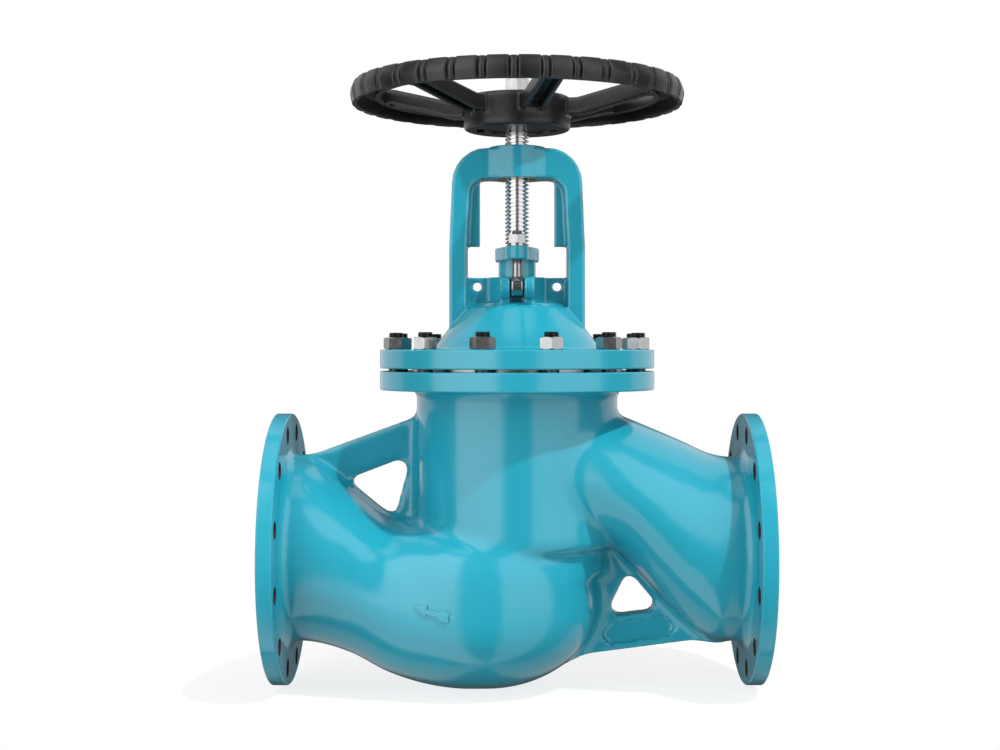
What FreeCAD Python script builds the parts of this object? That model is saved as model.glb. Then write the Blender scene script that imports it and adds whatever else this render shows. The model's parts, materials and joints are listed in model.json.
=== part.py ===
import FreeCAD, Part
import math
import os

V = FreeCAD.Vector

# Globe valve, straight pattern, DN 250 PN 16, bolted bonnet, outside screw and yoke.
# Millimetres. The model is laid out about the valve centre, where the stem axis (Z) crosses the
# pipe axis (X), and every part is moved at the end so that the origin is the centre of the
# inlet flange's sealing face, with +X pointing out of the inlet.

# Pipe ends
FACE_TO_FACE = 730.0
END_FLANGE_R = 202.5
END_FLANGE_BACK = 339.0
RAISED_FACE_R = 160.0
RAISED_FACE_H = 3.0
END_BOLT_PCD = 355.0
END_BOLT_HOLE_R = 13.0
BOLT_COUNT = 12
BORE_R = 125.0
PIPE_R = 137.5
STRAIGHT_BORE = 40.0

# Upper chamber and bonnet joint
NECK_R = 150.5
CHAMBER_R = 137.0
COVER_FLANGE_R = 206.0
BODY_FLANGE_Z = (239.0, 267.0)
BONNET_FLANGE_Z = (271.0, 299.0)
GASKET_R = (144.0, 158.0)
STUD_R = 11.0
STUD_CIRCLE_R = 185.0
STUD_Z = (242.0, 324.0)
STUD_CLEARANCE_R = 12.0
NUT_AF = 32.0
NUT_H = 18.0
NUT_TURN = -15.0

# Seat and plug
PARTITION_Z = (6.0, 33.0)
SEAT_BORE_R = 115.0
SEAT_PORT_R = 118.0
SEAT_PORT_FOOT = -24.0
THROAT_R = 131.5    # the cup under the partition that closes the seat port's sides
THROAT_FOOT = -38.0
SEAT_RING_R = 128.0
SEAT_RING_Z = (25.0, 41.0)
PLUG_R = 126.0
PLUG_THICK = 22.0
SEAT_GAP = 0.05
SOCKET_Z = 52.0
SPLIT_RING_Z = (68.0, 84.0)
SPLIT_RING_R = 26.0
PLUG_HUB_R = 34.0
RETAINER_AF = 88.0
RETAINER_Z = (70.0, 96.0)

# Stem
STEM_R = 18.0
STEM_CORE_R = 14.5
STEM_NECK_R = 13.0
THREAD_PITCH = 6.0
THREAD_CREST_SHARE = 0.366
THREAD_FLANK_ANGLE = 15.0
THREAD_PLAY = 0.214
THREAD_Z = (451.0, 628.0)
WHEEL_SEAT_R = 13.0
WHEEL_THREAD_R = 12.0
STEM_TOP = 716.5
LIFT = 63.0
BACKSEAT_R = 24.0
RUNNING = 0.05

# Bonnet, stuffing box and gland
DOME_FOOT = (125.5, 302.0)
DOME_TOP = (78.5, 361.0)
DOME_WALL = 15.0
STUFFING_R = 28.0
STUFFING_OUTER_R = 41.5
STUFFING_Z = (326.0, 407.0)
BACKSEAT_BUSH_R = 30.0
BACKSEAT_BUSH_Z = (300.0, 318.0)
PACKING_COUNT = 6
PACKING_H = 10.0
PACKING_BASE_H = 4.0
GLAND_Z = (431.0, 451.0)
GLAND_HALF_WIDTH = 33.0
GLAND_END_R = 15.7
GLAND_LENGTH = 166.0
EYE_BOLT_Y = 66.0
EYE_BOLT_R = 8.0
EYE_BOLT_TOP = 473.0
EYE_Z = 391.0
EYE_R = 15.0
EYE_WIDTH = 19.0
PIN_R = 6.0
LUG_X = (10.7, 25.6)
LUG_R = 18.0
GLAND_WASHER_H = 3.0
GLAND_NUT_AF = 24.0
GLAND_NUT_H = 14.0

# Yoke
YOKE_FOOT_X = 101.5
YOKE_TOP_X = 97.5
YOKE_Z = (318.0, 601.0)
YOKE_HALF_DEPTH = 28.0
YOKE_BAR = 26.5
YOKE_CORNER_R = 56.0
YOKE_RIB_X = 56.0
YOKE_RIB_FOOT = 454.0
YOKE_RIB_HALF = 8.0
CROSS_Z = 555.0
BOSS_R = 42.7
BOSS_TOP = 603.0
WEB_HALF = 7.0
BRACKET_HOLE_X = 60.0
BRACKET_HOLE_Z = 393.5
BRACKET_HOLE_R = 6.5
BUSH_R = 25.0
BUSH_LIP_R = 31.0
BUSH_LIP_H = 6.0

# Handwheel
WHEEL_R = 250.6
RIM_INNER_R = 205.0
RIM_Z = (666.0, 699.0)
RIM_INNER_FOOT = 675.0
RIM_WALL = 9.0
GRIP_COUNT = 35
GRIP_FIRST = -91.1
GRIP_RIDGE = 5.0
GRIP_GROOVE_R = 2.2
SPOKE_COUNT = 6
SPOKE_FIRST = 15.0
SPOKE_WIDTH = 34.0
SPOKE_RIB = 7.0
SPOKE_PLATE = 8.0
HUB_R = 80.4
HUB_Z = (628.5, 679.0)
HUB_RECESS_R = 49.0
HUB_RECESS_H = 3.0
# Slots in the hub's underside, as (x, width, length)
HUB_SLOTS = ((-55.0, 10.0, 34.0), (55.0, 8.0, 16.0))
HUB_SLOT_H = 8.0
KEY_SIZE = (8.0, 7.0, 40.0)
WHEEL_WASHER = (25.0, 5.0)
WHEEL_NUT_AF = 36.0
WHEEL_NUT_H = 22.0


# ---------------------------------------------------------------- general shapes

def cylinder(radius, z_low, z_high, x=0.0, y=0.0):
    return Part.makeCylinder(radius, z_high - z_low, V(x, y, z_low))


def cylinder_x(radius, x_low, x_high, y=0.0, z=0.0):
    return Part.makeCylinder(radius, x_high - x_low, V(x_low, y, z), V(1, 0, 0))


def cylinder_y(radius, y_low, y_high, x=0.0, z=0.0):
    return Part.makeCylinder(radius, y_high - y_low, V(x, y_low, z), V(0, 1, 0))


def box(x_span, y_span, z_span):
    size = [span[1] - span[0] for span in (x_span, y_span, z_span)]
    return Part.makeBox(size[0], size[1], size[2], V(x_span[0], y_span[0], z_span[0]))


def ring(outer, inner, z_low, z_high):
    return cylinder(outer, z_low, z_high).cut(cylinder(inner, z_low - 1, z_high + 1))


def lathe(outline, axis=V(0, 0, 1)):
    """Turn a closed (radius, height) outline about Z, or (radius, station) about X."""
    if axis.z:
        points = [V(r, 0, h) for r, h in outline]
    else:
        points = [V(h, 0, r) for r, h in outline]
    face = Part.Face(Part.makePolygon(points + points[:1]))
    return face.revolve(V(0, 0, 0), axis, 360)


def prism_y(outline, half_depth):
    """Extrude a closed (x, z) outline of points or edges over y = -half_depth..half_depth."""
    wire = outline
    if isinstance(outline, list):
        points = [V(x, -half_depth, z) for x, z in outline]
        wire = Part.makePolygon(points + points[:1])
    return Part.Face(wire).extrude(V(0, 2 * half_depth, 0))


def rounded_prism_y(corners, radii, half_depth):
    """Extrude an (x, z) polygon whose corners are rounded, over y = -half_depth..half_depth."""
    edges = []
    tangents = []
    count = len(corners)
    for i, (x, z) in enumerate(corners):
        here = V(x, -half_depth, z)
        before = V(corners[i - 1][0], -half_depth, corners[i - 1][1])
        after = V(corners[(i + 1) % count][0], -half_depth, corners[(i + 1) % count][1])
        to_before = (before - here).normalize()
        to_after = (after - here).normalize()
        half_angle = to_before.getAngle(to_after) / 2
        reach = radii[i] / math.tan(half_angle)
        middle = (to_before + to_after).normalize()
        centre = here + middle * (radii[i] / math.sin(half_angle))
        tangents.append((here + to_before * reach, centre - middle * radii[i], here + to_after * reach))
    for i in range(count):
        start, middle, end = tangents[i]
        edges.append(Part.Arc(start, middle, end).toShape())
        following = tangents[(i + 1) % count][0]
        if (following - end).Length > 1e-6:
            edges.append(Part.LineSegment(end, following).toShape())
    return prism_y(Part.Wire(edges), half_depth)


def around(shape, count, first=0.0):
    """Copies of a shape turned about Z, the first one by the given angle in degrees."""
    copies = []
    for i in range(count):
        copy = shape.copy()
        copy.rotate(V(0, 0, 0), V(0, 0, 1), first + 360.0 * i / count)
        copies.append(copy)
    return copies


def mirrored(shape, normal):
    return shape.mirror(V(0, 0, 0), normal)


def hexagon(across_flats, z_low, z_high, turn=0.0):
    """A hexagonal bar on Z with its corners turned off at 30 degrees, as on a nut."""
    corner_r = across_flats / math.sqrt(3)
    points = []
    for i in range(6):
        angle = math.radians(turn + 60 * i)
        points.append(V(corner_r * math.cos(angle), corner_r * math.sin(angle), z_low))
    bar = Part.Face(Part.makePolygon(points + points[:1])).extrude(V(0, 0, z_high - z_low))
    flat_r = across_flats / 2 * 0.95
    drop = (corner_r - flat_r) * math.tan(math.radians(30))
    turned = lathe([(0, z_low), (flat_r, z_low), (corner_r, z_low + drop),
                    (corner_r, z_high - drop), (flat_r, z_high), (0, z_high)])
    return bar.common(turned)


def oval_x(station, centre_z, half_height, half_width, fullness):
    """An upright oval in the plane x = station; fullness 2 is an ellipse, more is squarer."""
    points = []
    for i in range(SECTION_POINTS):
        angle = math.radians(SEAM_ANGLE + 360.0 * i / SECTION_POINTS)
        across, up = math.cos(angle), math.sin(angle)
        y = half_width * math.copysign(abs(across) ** (2.0 / fullness), across)
        z = half_height * math.copysign(abs(up) ** (2.0 / fullness), up)
        points.append(V(station, y, centre_z + z))
    curve = Part.BSplineCurve()
    curve.interpolate(points, PeriodicFlag=True)
    return Part.Wire(curve.toShape())


def passage(stations, wall=0.0):
    """A smooth tube through ovals (x, z_top, z_bottom, half_width, fullness), shrunk by a wall."""
    wires = []
    for x, top, bottom, half_width, fullness in stations:
        half_height = (top - bottom) / 2 - wall
        wires.append(oval_x(x, (top + bottom) / 2, half_height, half_width - wall, fullness))
    return Part.makeLoft(wires, True, False)


def screw_ridge(root_r, crest_r, z_span, half_crest, half_root):
    """A right-hand trapezoidal thread ridge that starts on the +X side."""
    helix = Part.makeLongHelix(THREAD_PITCH, z_span[1] - z_span[0], root_r, 0)
    profile = Part.makePolygon([V(root_r, 0, -half_root), V(crest_r, 0, -half_crest),
                                V(crest_r, 0, half_crest), V(root_r, 0, half_root),
                                V(root_r, 0, -half_root)])
    ridge = Part.Wire(helix).makePipeShell([profile], True, True)
    ridge.translate(V(0, 0, z_span[0]))
    return ridge


# ---------------------------------------------------------------- body

# Outer skins of the two passages, as (x, z_top, z_bottom, half_width, fullness).
BOWL_STATIONS = [(-334.0, 137.5, -137.5, 137.5, 2.0), (-318.0, 137.0, -137.5, 137.5, 2.0),
                 (-248.0, 92.0, -154.0, 140.0, 2.1), (-190.0, 50.0, -183.0, 147.0, 2.3),
                 (-140.0, 45.0, -199.0, 156.0, 2.5), (-90.0, 56.0, -206.5, 165.0, 2.6),
                 (-45.0, 62.0, -207.0, 168.0, 2.6)]
BOWL_END_LENGTH = 165.0
INLET_STATIONS = [(60.0, 225.0, 12.0, 128.0, 2.0), (142.0, 205.0, 5.0, 140.0, 2.0),
                  (200.0, 182.0, -49.0, 142.0, 2.0), (250.0, 160.5, -96.0, 140.0, 2.0),
                  (296.0, 141.0, -134.5, 138.5, 2.0), (318.0, 137.5, -137.5, 137.5, 2.0),
                  (334.0, 137.5, -137.5, 137.5, 2.0)]
BODY_WALL = 13.5
SECTION_POINTS = 24
SEAM_ANGLE = 40.0


def bowl_skin(wall):
    """The lower passage: the outlet pipe that swells into the bowl, with a rounded far end."""
    x, top, bottom, half_width, fullness = BOWL_STATIONS[-1]
    centre_z, half_height = (top + bottom) / 2, (top - bottom) / 2
    stations = list(BOWL_STATIONS)
    for angle in (20, 40, 57, 71, 81, 87):
        shrink = math.cos(math.radians(angle))
        height = wall + (half_height - wall) * shrink
        width = wall + (half_width - wall) * shrink
        station = x + (BOWL_END_LENGTH - wall) * math.sin(math.radians(angle))
        stations.append((station, centre_z + height, centre_z - height, width, fullness))
    return passage(stations, wall)


def end_flange(side):
    """The pipe flange on the side +1 (inlet) or -1 (outlet), without its bore and holes."""
    half = FACE_TO_FACE / 2
    outline = [(0, half), (RAISED_FACE_R, half), (RAISED_FACE_R, half - RAISED_FACE_H),
               (END_FLANGE_R - 1.5, half - RAISED_FACE_H), (END_FLANGE_R, half - RAISED_FACE_H - 1.5),
               (END_FLANGE_R, END_FLANGE_BACK + 1.5), (END_FLANGE_R - 1.5, END_FLANGE_BACK),
               (PIPE_R + 11, END_FLANGE_BACK), (PIPE_R + 3, END_FLANGE_BACK - 4),
               (PIPE_R - 4, END_FLANGE_BACK - 15), (0, END_FLANGE_BACK - 15)]
    return lathe([(r, side * x) for r, x in outline], V(1, 0, 0))


def end_flange_cuts(side):
    """Bolt holes and straight bore of one pipe flange."""
    half = FACE_TO_FACE / 2
    span = sorted((side * (half + 5), side * (END_FLANGE_BACK - 20)))
    cuts = []
    for i in range(BOLT_COUNT):
        angle = math.radians(15 + 30 * i)
        cuts.append(cylinder_x(END_BOLT_HOLE_R, span[0], span[1], END_BOLT_PCD / 2 * math.cos(angle),
                               END_BOLT_PCD / 2 * math.sin(angle)))
    bore = sorted((side * (half + 5), side * (half - STRAIGHT_BORE)))
    cuts.append(cylinder_x(BORE_R, bore[0], bore[1]))
    return cuts


def outlet_rib():
    """The web between the outlet pipe and the upper chamber, with its three-cornered window."""
    plate = prism_y([(-330, 110), (-330, 133), (-140, 202.5), (-140, 20), (-200, 20)], 9)
    window = rounded_prism_y([(-261, 102), (-159, 141), (-186, 41)], [14, 17, 12], 20)
    return plate.cut(window)


def inlet_rib():
    """The web between the bowl and the inlet pipe, with its window and a shallow name panel."""
    plate = prism_y([(60, -120), (60, -157), (84, -160), (300, -132), (300, -60), (150, 0), (110, 0)], 16)
    window = rounded_prism_y([(168, -28), (218, -91), (132, -101)], [14, 13, 13], 30)
    panel = rounded_prism_y([(140, -110), (222, -99), (238, -117), (226, -130), (138, -143), (126, -128)],
                            [6] * 6, 2)
    front = panel.copy()
    front.translate(V(0, -16, 0))
    back = panel.copy()
    back.translate(V(0, 16, 0))
    return plate.cut(window).cut(front).cut(back)


def flow_arrow():
    """The raised arrow on the front of the bowl, pointing towards the outlet."""
    outline = [(-155, -93), (-134, -84), (-136, -91), (-118, -96), (-108, -92), (-101, -97), (-110, -104),
               (-104, -113), (-120, -107), (-140, -101), (-139, -108)]
    arrow = prism_y(outline, 40)
    arrow.translate(V(0, -150, 0))
    shell = bowl_skin(-2.0)
    return arrow.common(shell)


def body_casting():
    low, high = BODY_FLANGE_Z
    neck = lathe([(0, -2), (NECK_R - 14, -2), (NECK_R, 14), (NECK_R, low - 8), (NECK_R + 2.5, low - 2.5),
                  (NECK_R + 8, low), (COVER_FLANGE_R - 2, low), (COVER_FLANGE_R, low + 2),
                  (COVER_FLANGE_R, high - 2), (COVER_FLANGE_R - 2, high), (0, high)])
    throat = lathe([(0, THROAT_FOOT), (THROAT_R - 12, THROAT_FOOT), (THROAT_R, THROAT_FOOT + 12),
                    (THROAT_R, PARTITION_Z[0] + 3), (0, PARTITION_Z[0] + 3)])
    body = neck.fuse([throat, bowl_skin(0.0), passage(INLET_STATIONS), end_flange(1), end_flange(-1),
                      outlet_rib(), inlet_rib()])
    body = body.fuse(flow_arrow())

    # Upper chamber with the inlet passage, and the lower passage under the partition.
    chamber = cylinder(CHAMBER_R, PARTITION_Z[1], high + 1)
    inlet = passage(INLET_STATIONS, BODY_WALL).cut(box((0, 134), (-200, 200), (-200, PARTITION_Z[1])))
    guard = cylinder(NECK_R, PARTITION_Z[0], high)
    bowl = bowl_skin(BODY_WALL).cut(guard)
    seat_port = cylinder(SEAT_PORT_R, SEAT_PORT_FOOT, PARTITION_Z[1] + 1)
    seat_step = cylinder(SEAT_RING_R, SEAT_RING_Z[0], PARTITION_Z[1] + 1)
    hollows = [chamber, inlet, bowl, seat_port, seat_step]
    stud_hole = cylinder(STUD_R, low - 5, high + 1, STUD_CIRCLE_R)
    holes = around(stud_hole, BOLT_COUNT, 15)
    return body.cut(hollows + end_flange_cuts(1) + end_flange_cuts(-1) + holes)


def body_seat_ring():
    low, high = SEAT_RING_Z
    return lathe([(SEAT_BORE_R, low), (SEAT_RING_R, low), (SEAT_RING_R, high - 3), (SEAT_RING_R - 3, high),
                  (SEAT_BORE_R + 4, high), (SEAT_BORE_R, high - 3)])


# ---------------------------------------------------------------- plug and stem

def plug_disc():
    low = SEAT_RING_Z[1] + SEAT_GAP
    top = low + PLUG_THICK
    hub_top = SPLIT_RING_Z[1] - 2
    disc = lathe([(0, low - 14), (SEAT_BORE_R - 22, low - 14), (SEAT_BORE_R - 4, low), (PLUG_R - 2, low),
                  (PLUG_R, low + 3), (PLUG_R, top - 5), (PLUG_R - 5, top), (PLUG_HUB_R + 14, top),
                  (PLUG_HUB_R, top + 2), (PLUG_HUB_R, hub_top), (0, hub_top)])
    socket = cylinder(STEM_R + RUNNING, SOCKET_Z, hub_top + 1)
    ring_seat = cylinder(SPLIT_RING_R, SPLIT_RING_Z[0], hub_top + 1)
    return disc.cut([socket, ring_seat])


def plug_retaining_nut():
    low, high = RETAINER_Z
    nut = hexagon(RETAINER_AF, low, high)
    thread_bore = cylinder(PLUG_HUB_R, low - 1, SPLIT_RING_Z[1])
    stem_bore = cylinder(STEM_R + RUNNING, low, high + 1)
    return nut.cut([thread_bore, stem_bore])


def plug_split_ring():
    low, high = SPLIT_RING_Z
    whole = ring(SPLIT_RING_R, STEM_NECK_R + RUNNING, low, high)
    saw_cut = box((-SPLIT_RING_R - 1, SPLIT_RING_R + 1), (-0.75, 0.75), (low - 1, high + 1))
    return whole.cut(saw_cut)


def stem():
    low, high = SPLIT_RING_Z
    backseat = BACKSEAT_BUSH_Z[0] - LIFT
    seat_low, seat_high = HUB_Z[0] + HUB_RECESS_H, HUB_Z[1]
    core = lathe([(0, SOCKET_Z + 0.1), (STEM_R - 4, SOCKET_Z + 0.1), (STEM_R, SOCKET_Z + 4),
                  (STEM_R, low - 0.1), (STEM_NECK_R, low - 0.1), (STEM_NECK_R, high + 0.1), (STEM_R, high + 0.1),
                  (STEM_R, backseat - 16), (BACKSEAT_R, backseat - 10), (BACKSEAT_R, backseat - 0.3),
                  (STEM_R, backseat + 5.7), (STEM_R, THREAD_Z[0] - 6), (STEM_CORE_R, THREAD_Z[0] - 2.5),
                  (STEM_CORE_R, seat_low), (WHEEL_SEAT_R, seat_low), (WHEEL_SEAT_R, seat_high - 1),
                  (WHEEL_THREAD_R, seat_high), (WHEEL_THREAD_R, STEM_TOP - 2), (WHEEL_THREAD_R - 2, STEM_TOP),
                  (0, STEM_TOP)])
    flank = math.tan(math.radians(THREAD_FLANK_ANGLE))
    half_crest = THREAD_CREST_SHARE * THREAD_PITCH / 2
    root = STEM_CORE_R - 0.2
    ridge = screw_ridge(root, STEM_R, THREAD_Z, half_crest, half_crest + (STEM_R - root) * flank)
    below_wheel = cylinder(STEM_R + 5, SOCKET_Z, seat_low - 0.05)
    threaded = core.fuse(ridge.common(below_wheel))
    width, height, length = KEY_SIZE
    key_way = box((WHEEL_SEAT_R - height / 2, WHEEL_SEAT_R + height), (-width / 2, width / 2),
                  (seat_low + 2, seat_low + 2 + length))
    return threaded.cut(key_way)


# ---------------------------------------------------------------- bonnet and yoke

def yoke_outline(inset, top):
    """Half of the yoke's arch seen from the front: the outer line moved in by an inset."""
    foot_x, top_x = YOKE_FOOT_X - inset, YOKE_TOP_X - inset
    low = YOKE_Z[0] - 1 if inset else YOKE_Z[0]
    return [(foot_x, low), (foot_x, 450.0), (top_x, top - YOKE_CORNER_R + 2), (top_x, top), (-top_x, top),
            (-top_x, top - YOKE_CORNER_R + 2), (-foot_x, 450.0), (-foot_x, low)]


def yoke_arch():
    """Two arms and the crosspiece as one flat arch with round shoulders."""
    outer = rounded_prism_y(yoke_outline(0, YOKE_Z[1]), [0.5, 90, 30, YOKE_CORNER_R - 3, YOKE_CORNER_R - 3,
                                                         30, 90, 0.5], YOKE_HALF_DEPTH)
    inner = rounded_prism_y(yoke_outline(YOKE_BAR, CROSS_Z), [0.5, 90, 30, 24, 24, 30, 90, 0.5],
                            YOKE_HALF_DEPTH + 1)
    return outer.cut(inner)


def yoke_ribs():
    """Stiffening ribs on the inner side of each arm, from the crosspiece down to a square end."""
    inner_x = YOKE_FOOT_X - YOKE_BAR
    rib = rounded_prism_y([(YOKE_RIB_X, YOKE_RIB_FOOT), (inner_x + 4, YOKE_RIB_FOOT), (inner_x + 4, CROSS_Z + 6),
                           (YOKE_RIB_X, CROSS_Z + 6)], [3, 0.5, 0.5, 0.5], YOKE_RIB_HALF)
    return [rib, mirrored(rib, V(1, 0, 0))]


def bonnet_webs():
    """Plates that tie the arms to the stuffing box, each with a hole for a bracket."""
    web = box((STUFFING_R + 4, YOKE_FOOT_X - 10), (-WEB_HALF, WEB_HALF), (330, STUFFING_Z[1]))
    hole = cylinder_y(BRACKET_HOLE_R, -WEB_HALF - 1, WEB_HALF + 1, BRACKET_HOLE_X, BRACKET_HOLE_Z)
    web = web.cut(hole)
    return [web, mirrored(web, V(1, 0, 0))]


def eye_bolt_lugs():
    """Pairs of ears in front of and behind the stuffing box, drilled for the eye bolt pins."""
    lugs = []
    for side in (-1, 1):
        centre_y = side * EYE_BOLT_Y
        inner_y = side * (STUFFING_R + 4)
        tongue = box((-LUG_X[1], LUG_X[1]), sorted((inner_y, centre_y)), (EYE_Z - LUG_R - 14, EYE_Z + 15))
        nose = cylinder_x(LUG_R, -LUG_X[1], LUG_X[1], centre_y, EYE_Z)
        slot_y = sorted((side * (STUFFING_OUTER_R + 5), side * 100))
        slot = box((-LUG_X[0], LUG_X[0]), slot_y, (EYE_Z - LUG_R - 4, EYE_Z + 30))
        pin_hole = cylinder_x(PIN_R, -LUG_X[1] - 1, LUG_X[1] + 1, centre_y, EYE_Z)
        trim = box((-LUG_X[1] - 1, LUG_X[1] + 1), sorted((side * 30, side * 100)), (EYE_Z + 15, EYE_Z + 40))
        lugs.append(tongue.fuse(nose).cut([slot, pin_hole, trim]))
    return lugs


def bonnet_yoke():
    low, high = BONNET_FLANGE_Z
    run, rise = DOME_FOOT[0] - DOME_TOP[0], DOME_TOP[1] - DOME_FOOT[1]
    slant = math.hypot(run, rise)
    shift_r, shift_z = -DOME_WALL * rise / slant, -DOME_WALL * run / slant
    roof_z = 345.0
    roof_r = DOME_TOP[0] + shift_r + (DOME_TOP[1] + shift_z - roof_z) * run / rise
    box_r = STUFFING_OUTER_R + 2.5
    shell = lathe([(CHAMBER_R - 5, low), (COVER_FLANGE_R - 2, low), (COVER_FLANGE_R, low + 2),
                   (COVER_FLANGE_R, high - 2), (COVER_FLANGE_R - 2, high), (DOME_FOOT[0] + 5, high),
                   DOME_FOOT, DOME_TOP, (DOME_TOP[0] - 12, DOME_TOP[1] + 7),
                   (STUFFING_OUTER_R, DOME_TOP[1] + 10), (STUFFING_OUTER_R, STUFFING_Z[1]),
                   (STUFFING_R, STUFFING_Z[1]), (STUFFING_R, STUFFING_Z[0]),
                   (STEM_R + 0.6, STUFFING_Z[0]), (STEM_R + 0.6, BACKSEAT_BUSH_Z[1]),
                   (BACKSEAT_BUSH_R, BACKSEAT_BUSH_Z[1]), (BACKSEAT_BUSH_R, BACKSEAT_BUSH_Z[0]),
                   (box_r, BACKSEAT_BUSH_Z[0]), (box_r, roof_z), (roof_r, roof_z),
                   (DOME_FOOT[0] + shift_r, DOME_FOOT[1] + shift_z)])
    boss = cylinder(BOSS_R, CROSS_Z, BOSS_TOP)
    frame = yoke_arch().fuse([boss] + yoke_ribs() + bonnet_webs() + eye_bolt_lugs())
    # The yoke's feet stand on the dome: whatever would reach inside the dome is taken off.
    inside = lathe([(0, 200), (DOME_FOOT[0] + shift_r + 8, 200), (DOME_FOOT[0] + shift_r, DOME_FOOT[1] + shift_z),
                    (roof_r, roof_z), (0, roof_z)])
    stuffing = cylinder(STUFFING_R, STUFFING_Z[0], STUFFING_Z[1] + 30)
    bonnet = shell.fuse(frame.cut([inside, stuffing]))
    bush_seat = cylinder(BUSH_R, CROSS_Z - 1, BOSS_TOP + 1)
    lip_seat = cylinder(BUSH_LIP_R, CROSS_Z - 1, CROSS_Z + BUSH_LIP_H)
    grub_hole = cylinder_y(4.0, BUSH_R - 3, BOSS_R + 5, 0, (CROSS_Z + BOSS_TOP) / 2)
    stud_hole = cylinder(STUD_CLEARANCE_R, low - 1, high + 1, STUD_CIRCLE_R)
    return bonnet.cut([bush_seat, lip_seat, grub_hole] + around(stud_hole, BOLT_COUNT, 15))


def bonnet_gasket():
    return ring(GASKET_R[1], GASKET_R[0], BODY_FLANGE_Z[1], BONNET_FLANGE_Z[0])


def bonnet_studs():
    low, high = STUD_Z
    stud = lathe([(0, low), (STUD_R - 1.5, low), (STUD_R, low + 1.5), (STUD_R, high - 1.5), (STUD_R - 1.5, high),
                  (0, high)])
    stud.translate(V(STUD_CIRCLE_R, 0, 0))
    return Part.makeCompound(around(stud, BOLT_COUNT, 15))


def bonnet_nuts():
    """Nuts on the studs, all turned alike about their own studs."""
    low = BONNET_FLANGE_Z[1]
    nuts = []
    for i in range(BOLT_COUNT):
        nut = hexagon(NUT_AF, low, low + NUT_H, turn=NUT_TURN)
        nut = nut.cut(cylinder(STUD_R, low - 1, low + NUT_H + 1))
        nut.translate(V(STUD_CIRCLE_R, 0, 0))
        nut.rotate(V(0, 0, 0), V(0, 0, 1), 15 + 360.0 * i / BOLT_COUNT)
        nuts.append(nut)
    return Part.makeCompound(nuts)


def backseat_bush():
    low, high = BACKSEAT_BUSH_Z
    bore = STEM_R + RUNNING
    return lathe([(BACKSEAT_R + 1, low), (BACKSEAT_BUSH_R, low), (BACKSEAT_BUSH_R, high), (bore, high),
                  (bore, low + 7)])


def yoke_bush():
    """The bronze bush with the stem's female thread, held up against a lip."""
    blank = cylinder(BUSH_R, CROSS_Z, BOSS_TOP).fuse(cylinder(BUSH_LIP_R, CROSS_Z, CROSS_Z + BUSH_LIP_H))
    bore = STEM_CORE_R + 0.5
    crest = STEM_R + 0.5
    flank = math.tan(math.radians(THREAD_FLANK_ANGLE))
    half_crest = THREAD_CREST_SHARE * THREAD_PITCH / 2 - (crest - STEM_R) * flank + THREAD_PLAY
    root = bore - 0.4
    half_root = half_crest + (crest - root) * flank
    start = THREAD_Z[0] + THREAD_PITCH * math.floor((CROSS_Z - THREAD_Z[0]) / THREAD_PITCH - 1)
    turns = math.ceil((BOSS_TOP - start) / THREAD_PITCH + 1)
    groove = screw_ridge(root, crest, (start, start + turns * THREAD_PITCH), half_crest, half_root)
    return blank.cut(cylinder(bore, CROSS_Z - 1, BOSS_TOP + 1)).cut(groove)


def yoke_bush_grub_screw():
    middle = (CROSS_Z + BOSS_TOP) / 2
    screw = cylinder_y(4.0, BUSH_R, BOSS_R - 3, 0, middle)
    socket = cylinder_y(2.3, BOSS_R - 8, BOSS_R + 1, 0, middle)
    return screw.cut(socket)


# ---------------------------------------------------------------- packing and gland

def packing_base_ring():
    low = STUFFING_Z[0]
    return ring(STUFFING_R, STEM_R + RUNNING, low, low + PACKING_BASE_H)


def packing_ring(index):
    low = STUFFING_Z[0] + PACKING_BASE_H + index * PACKING_H
    return ring(STUFFING_R, STEM_R + RUNNING, low, low + PACKING_H)


def gland_sleeve():
    low = STUFFING_Z[0] + PACKING_BASE_H + PACKING_COUNT * PACKING_H
    return ring(STUFFING_R - RUNNING, STEM_R + RUNNING, low, GLAND_Z[0])


def gland_flange():
    """The oval gland: a hexagonal middle that narrows to a round end at each eye bolt."""
    low, high = GLAND_Z
    end_y = GLAND_LENGTH / 2 - GLAND_END_R
    shoulder = 12.0
    outline = [(GLAND_HALF_WIDTH, -shoulder), (GLAND_HALF_WIDTH, shoulder), (GLAND_END_R, end_y),
               (-GLAND_END_R, end_y), (-GLAND_HALF_WIDTH, shoulder), (-GLAND_HALF_WIDTH, -shoulder),
               (-GLAND_END_R, -end_y), (GLAND_END_R, -end_y)]
    points = [V(x, y, low) for x, y in outline]
    plate = Part.Face(Part.makePolygon(points + points[:1])).extrude(V(0, 0, high - low))
    plate = plate.fuse([cylinder(GLAND_END_R, low, high, 0, side * end_y) for side in (-1, 1)])
    bolt_holes = [cylinder(EYE_BOLT_R + 0.5, low - 1, high + 1, 0, side * EYE_BOLT_Y) for side in (-1, 1)]
    return plate.cut(bolt_holes + [cylinder(STEM_R + 1, low - 1, high + 1)])


def eye_bolt(side):
    y = side * EYE_BOLT_Y
    eye = cylinder_x(EYE_R, -EYE_WIDTH / 2, EYE_WIDTH / 2, y, EYE_Z)
    shank = cylinder(EYE_BOLT_R - 0.7, EYE_Z, 425, 0, y)
    thread = cylinder(EYE_BOLT_R, 424, EYE_BOLT_TOP - 1.5, 0, y)
    tip = Part.makeCone(EYE_BOLT_R, EYE_BOLT_R - 1.5, 1.5, V(0, y, EYE_BOLT_TOP - 1.5))
    hole = cylinder_x(PIN_R, -EYE_WIDTH, EYE_WIDTH, y, EYE_Z)
    return eye.fuse([shank, thread, tip]).cut(hole)


def eye_bolt_pin(side):
    return cylinder_x(PIN_R, -LUG_X[1], LUG_X[1], side * EYE_BOLT_Y, EYE_Z)


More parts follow.
